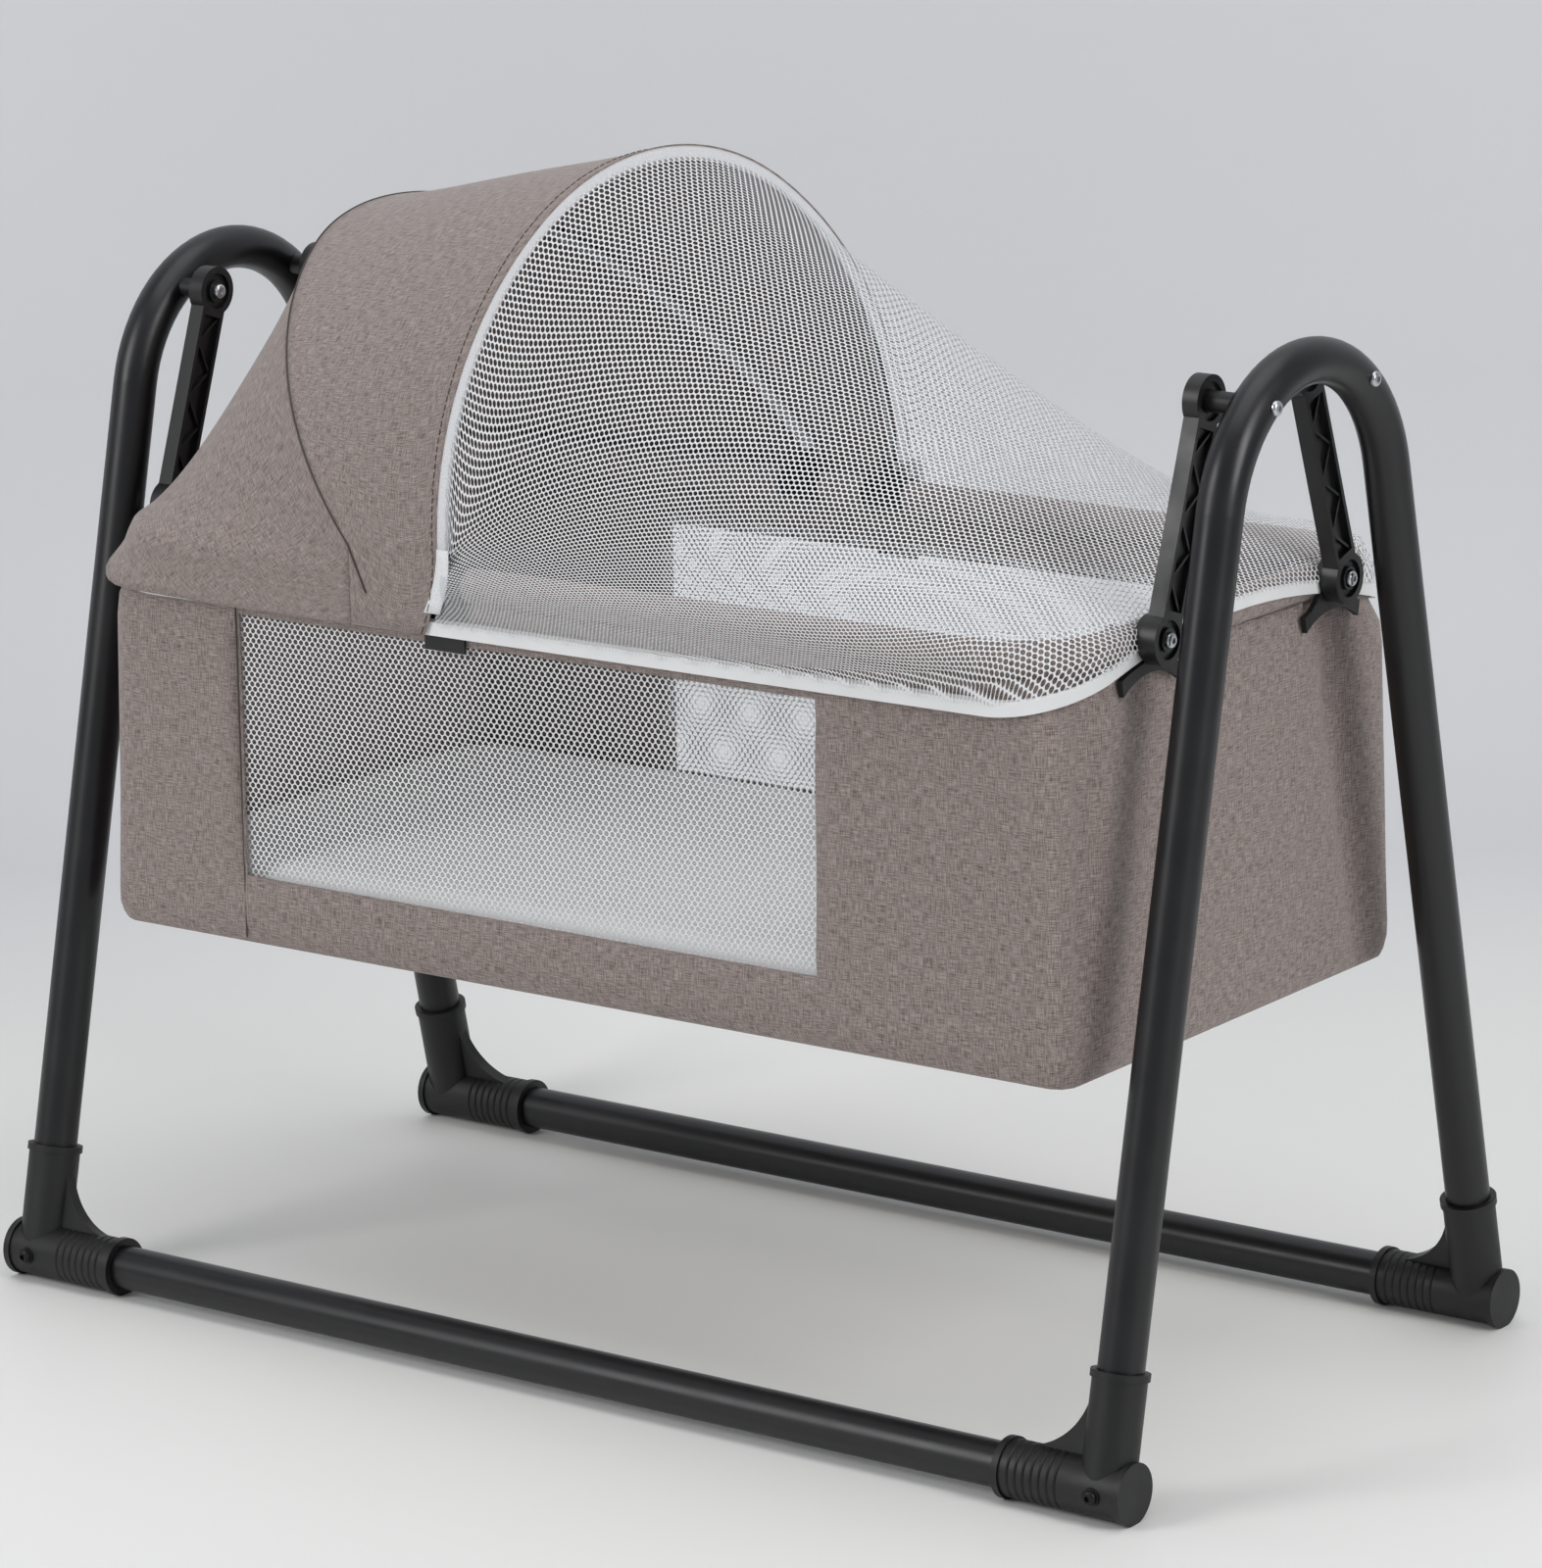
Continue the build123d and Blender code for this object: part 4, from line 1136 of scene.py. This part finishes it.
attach(pad, "basket")
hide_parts("mattress")

# Studio: pale floor and backdrop in one sweep, its upright part painted greyer as painted shade, soft
# even lamps, and the camera of the photograph.
sweep = bmesh.new()
bmesh.ops.create_grid(sweep, x_segments=2, y_segments=40, size=1.0)
turn_r = 0.5
for point in sweep.verts:
    across = point.co.x * 9.0
    share = (point.co.y + 1) / 2
    if share < 0.45:
        point.co = Vector((across, -7.0 + share / 0.45 * (8.0 - turn_r), 0))
    elif share < 0.65:
        angle = (share - 0.45) / 0.2 * pi / 2
        point.co = Vector((across, 1.0 - turn_r + turn_r * sin(angle), turn_r - turn_r * cos(angle)))
    else:
        point.co = Vector((across, 1.0, turn_r + (share - 0.65) / 0.35 * 5.0))
bmesh.ops.rotate(
    sweep, verts=sweep.verts, cent=(0, 0, 0), matrix=Matrix.Rotation(radians(36.12), 3, "Z")
)
sweep_paint_with_shade = bpy.data.materials.new("sweep_paint_with_shade")
sweep_paint_with_shade.use_nodes = True
tree = sweep_paint_with_shade.node_tree
where = place(tree, "TexCoord")
axes = place(tree, "SeparateXYZ", [("Vector", where.outputs["Object"])])
# Painted shade: the sweep's colour turns from the pale floor tone to a darker, bluer grey as it rises
# into the backdrop.
rise = place(
    tree, "MapRange", [("Value", axes.outputs["Z"]), ("From Min", 0.0), ("From Max", 0.12)]
)
tint = place(
    tree,
    "MixRGB",
    [("Fac", rise.outputs[0]), ("Color1", srgb(238, 238, 235)), ("Color2", srgb(210, 211, 214))],
)
tree.links.new(tint.outputs[0], tree.nodes["Principled BSDF"].inputs["Base Color"])
tree.nodes["Principled BSDF"].inputs["Roughness"].default_value = 0.55
side_seen = place(tree, "NewGeometry")
see_through = place(tree, "BsdfTransparent")
one_sided = place(tree, "MixShader", [("Fac", side_seen.outputs["Backfacing"])])
tree.links.new(tree.nodes["Principled BSDF"].outputs[0], one_sided.inputs[1])
tree.links.new(see_through.outputs[0], one_sided.inputs[2])
tree.links.new(one_sided.outputs[0], tree.nodes["Material Output"].inputs["Surface"])
backdrop = finish_piece("backdrop", sweep, [sweep_paint_with_shade])

world = bpy.data.worlds.new("studio")
bpy.context.scene.world = world
world.use_nodes = True
world.node_tree.nodes["Background"].inputs["Color"].default_value = (0.93, 0.96, 1.0, 1.0)
world.node_tree.nodes["Background"].inputs["Strength"].default_value = 0.4


def soft_lamp(name, spot, aim, size, power):
    lamp_data = bpy.data.lights.new(name, "AREA")
    lamp_data.shape = "RECTANGLE"
    lamp_data.size, lamp_data.size_y = size
    lamp_data.energy = power
    lamp = bpy.data.objects.new(name, lamp_data)
    lamp.location = spot
    lamp.rotation_euler = (Vector(aim) - Vector(spot)).to_track_quat("-Z", "Y").to_euler()
    bpy.context.scene.collection.objects.link(lamp)
    return lamp


soft_lamp("lamp_left", (-1.6, -3.2, 2.2), (0, 0, 0.4), (1.4, 2.0), 52)
soft_lamp("lamp_right", (3.4, -0.4, 2.2), (0, 0, 0.4), (1.2, 2.2), 50)
soft_lamp("lamp_top", (0.2, 0.0, 3.2), (0, 0, 0), (2.4, 2.4), 27)

azimuth = radians(36.12)
elevation = radians(13.8)
roll = radians(-0.914)
target = Vector((0.087, -0.0837, 0.4158))
back_way = Vector(
    (sin(azimuth) * cos(elevation), -cos(azimuth) * cos(elevation), sin(elevation))
)
right_way = Vector((cos(azimuth), sin(azimuth), 0))
up_way = back_way.cross(right_way)
turned_right = right_way * cos(roll) + up_way * sin(roll)
turned_up = up_way * cos(roll) - right_way * sin(roll)
camera_data = bpy.data.cameras.new("camera")
camera_data.sensor_fit = "VERTICAL"
camera_data.sensor_height = 36.0
camera_data.lens = 36.0 * 6656 / 1600
camera_data.clip_end = 50.0
camera = bpy.data.objects.new("camera", camera_data)
camera.matrix_world = Matrix(
    [
        [turned_right[i], turned_up[i], back_way[i], (target + back_way * 4.551)[i]]
        for i in range(3)
    ]
    + [[0, 0, 0, 1]]
)
bpy.context.scene.collection.objects.link(camera)
bpy.context.scene.camera = camera
bpy.context.scene.view_settings.view_transform = "Standard"
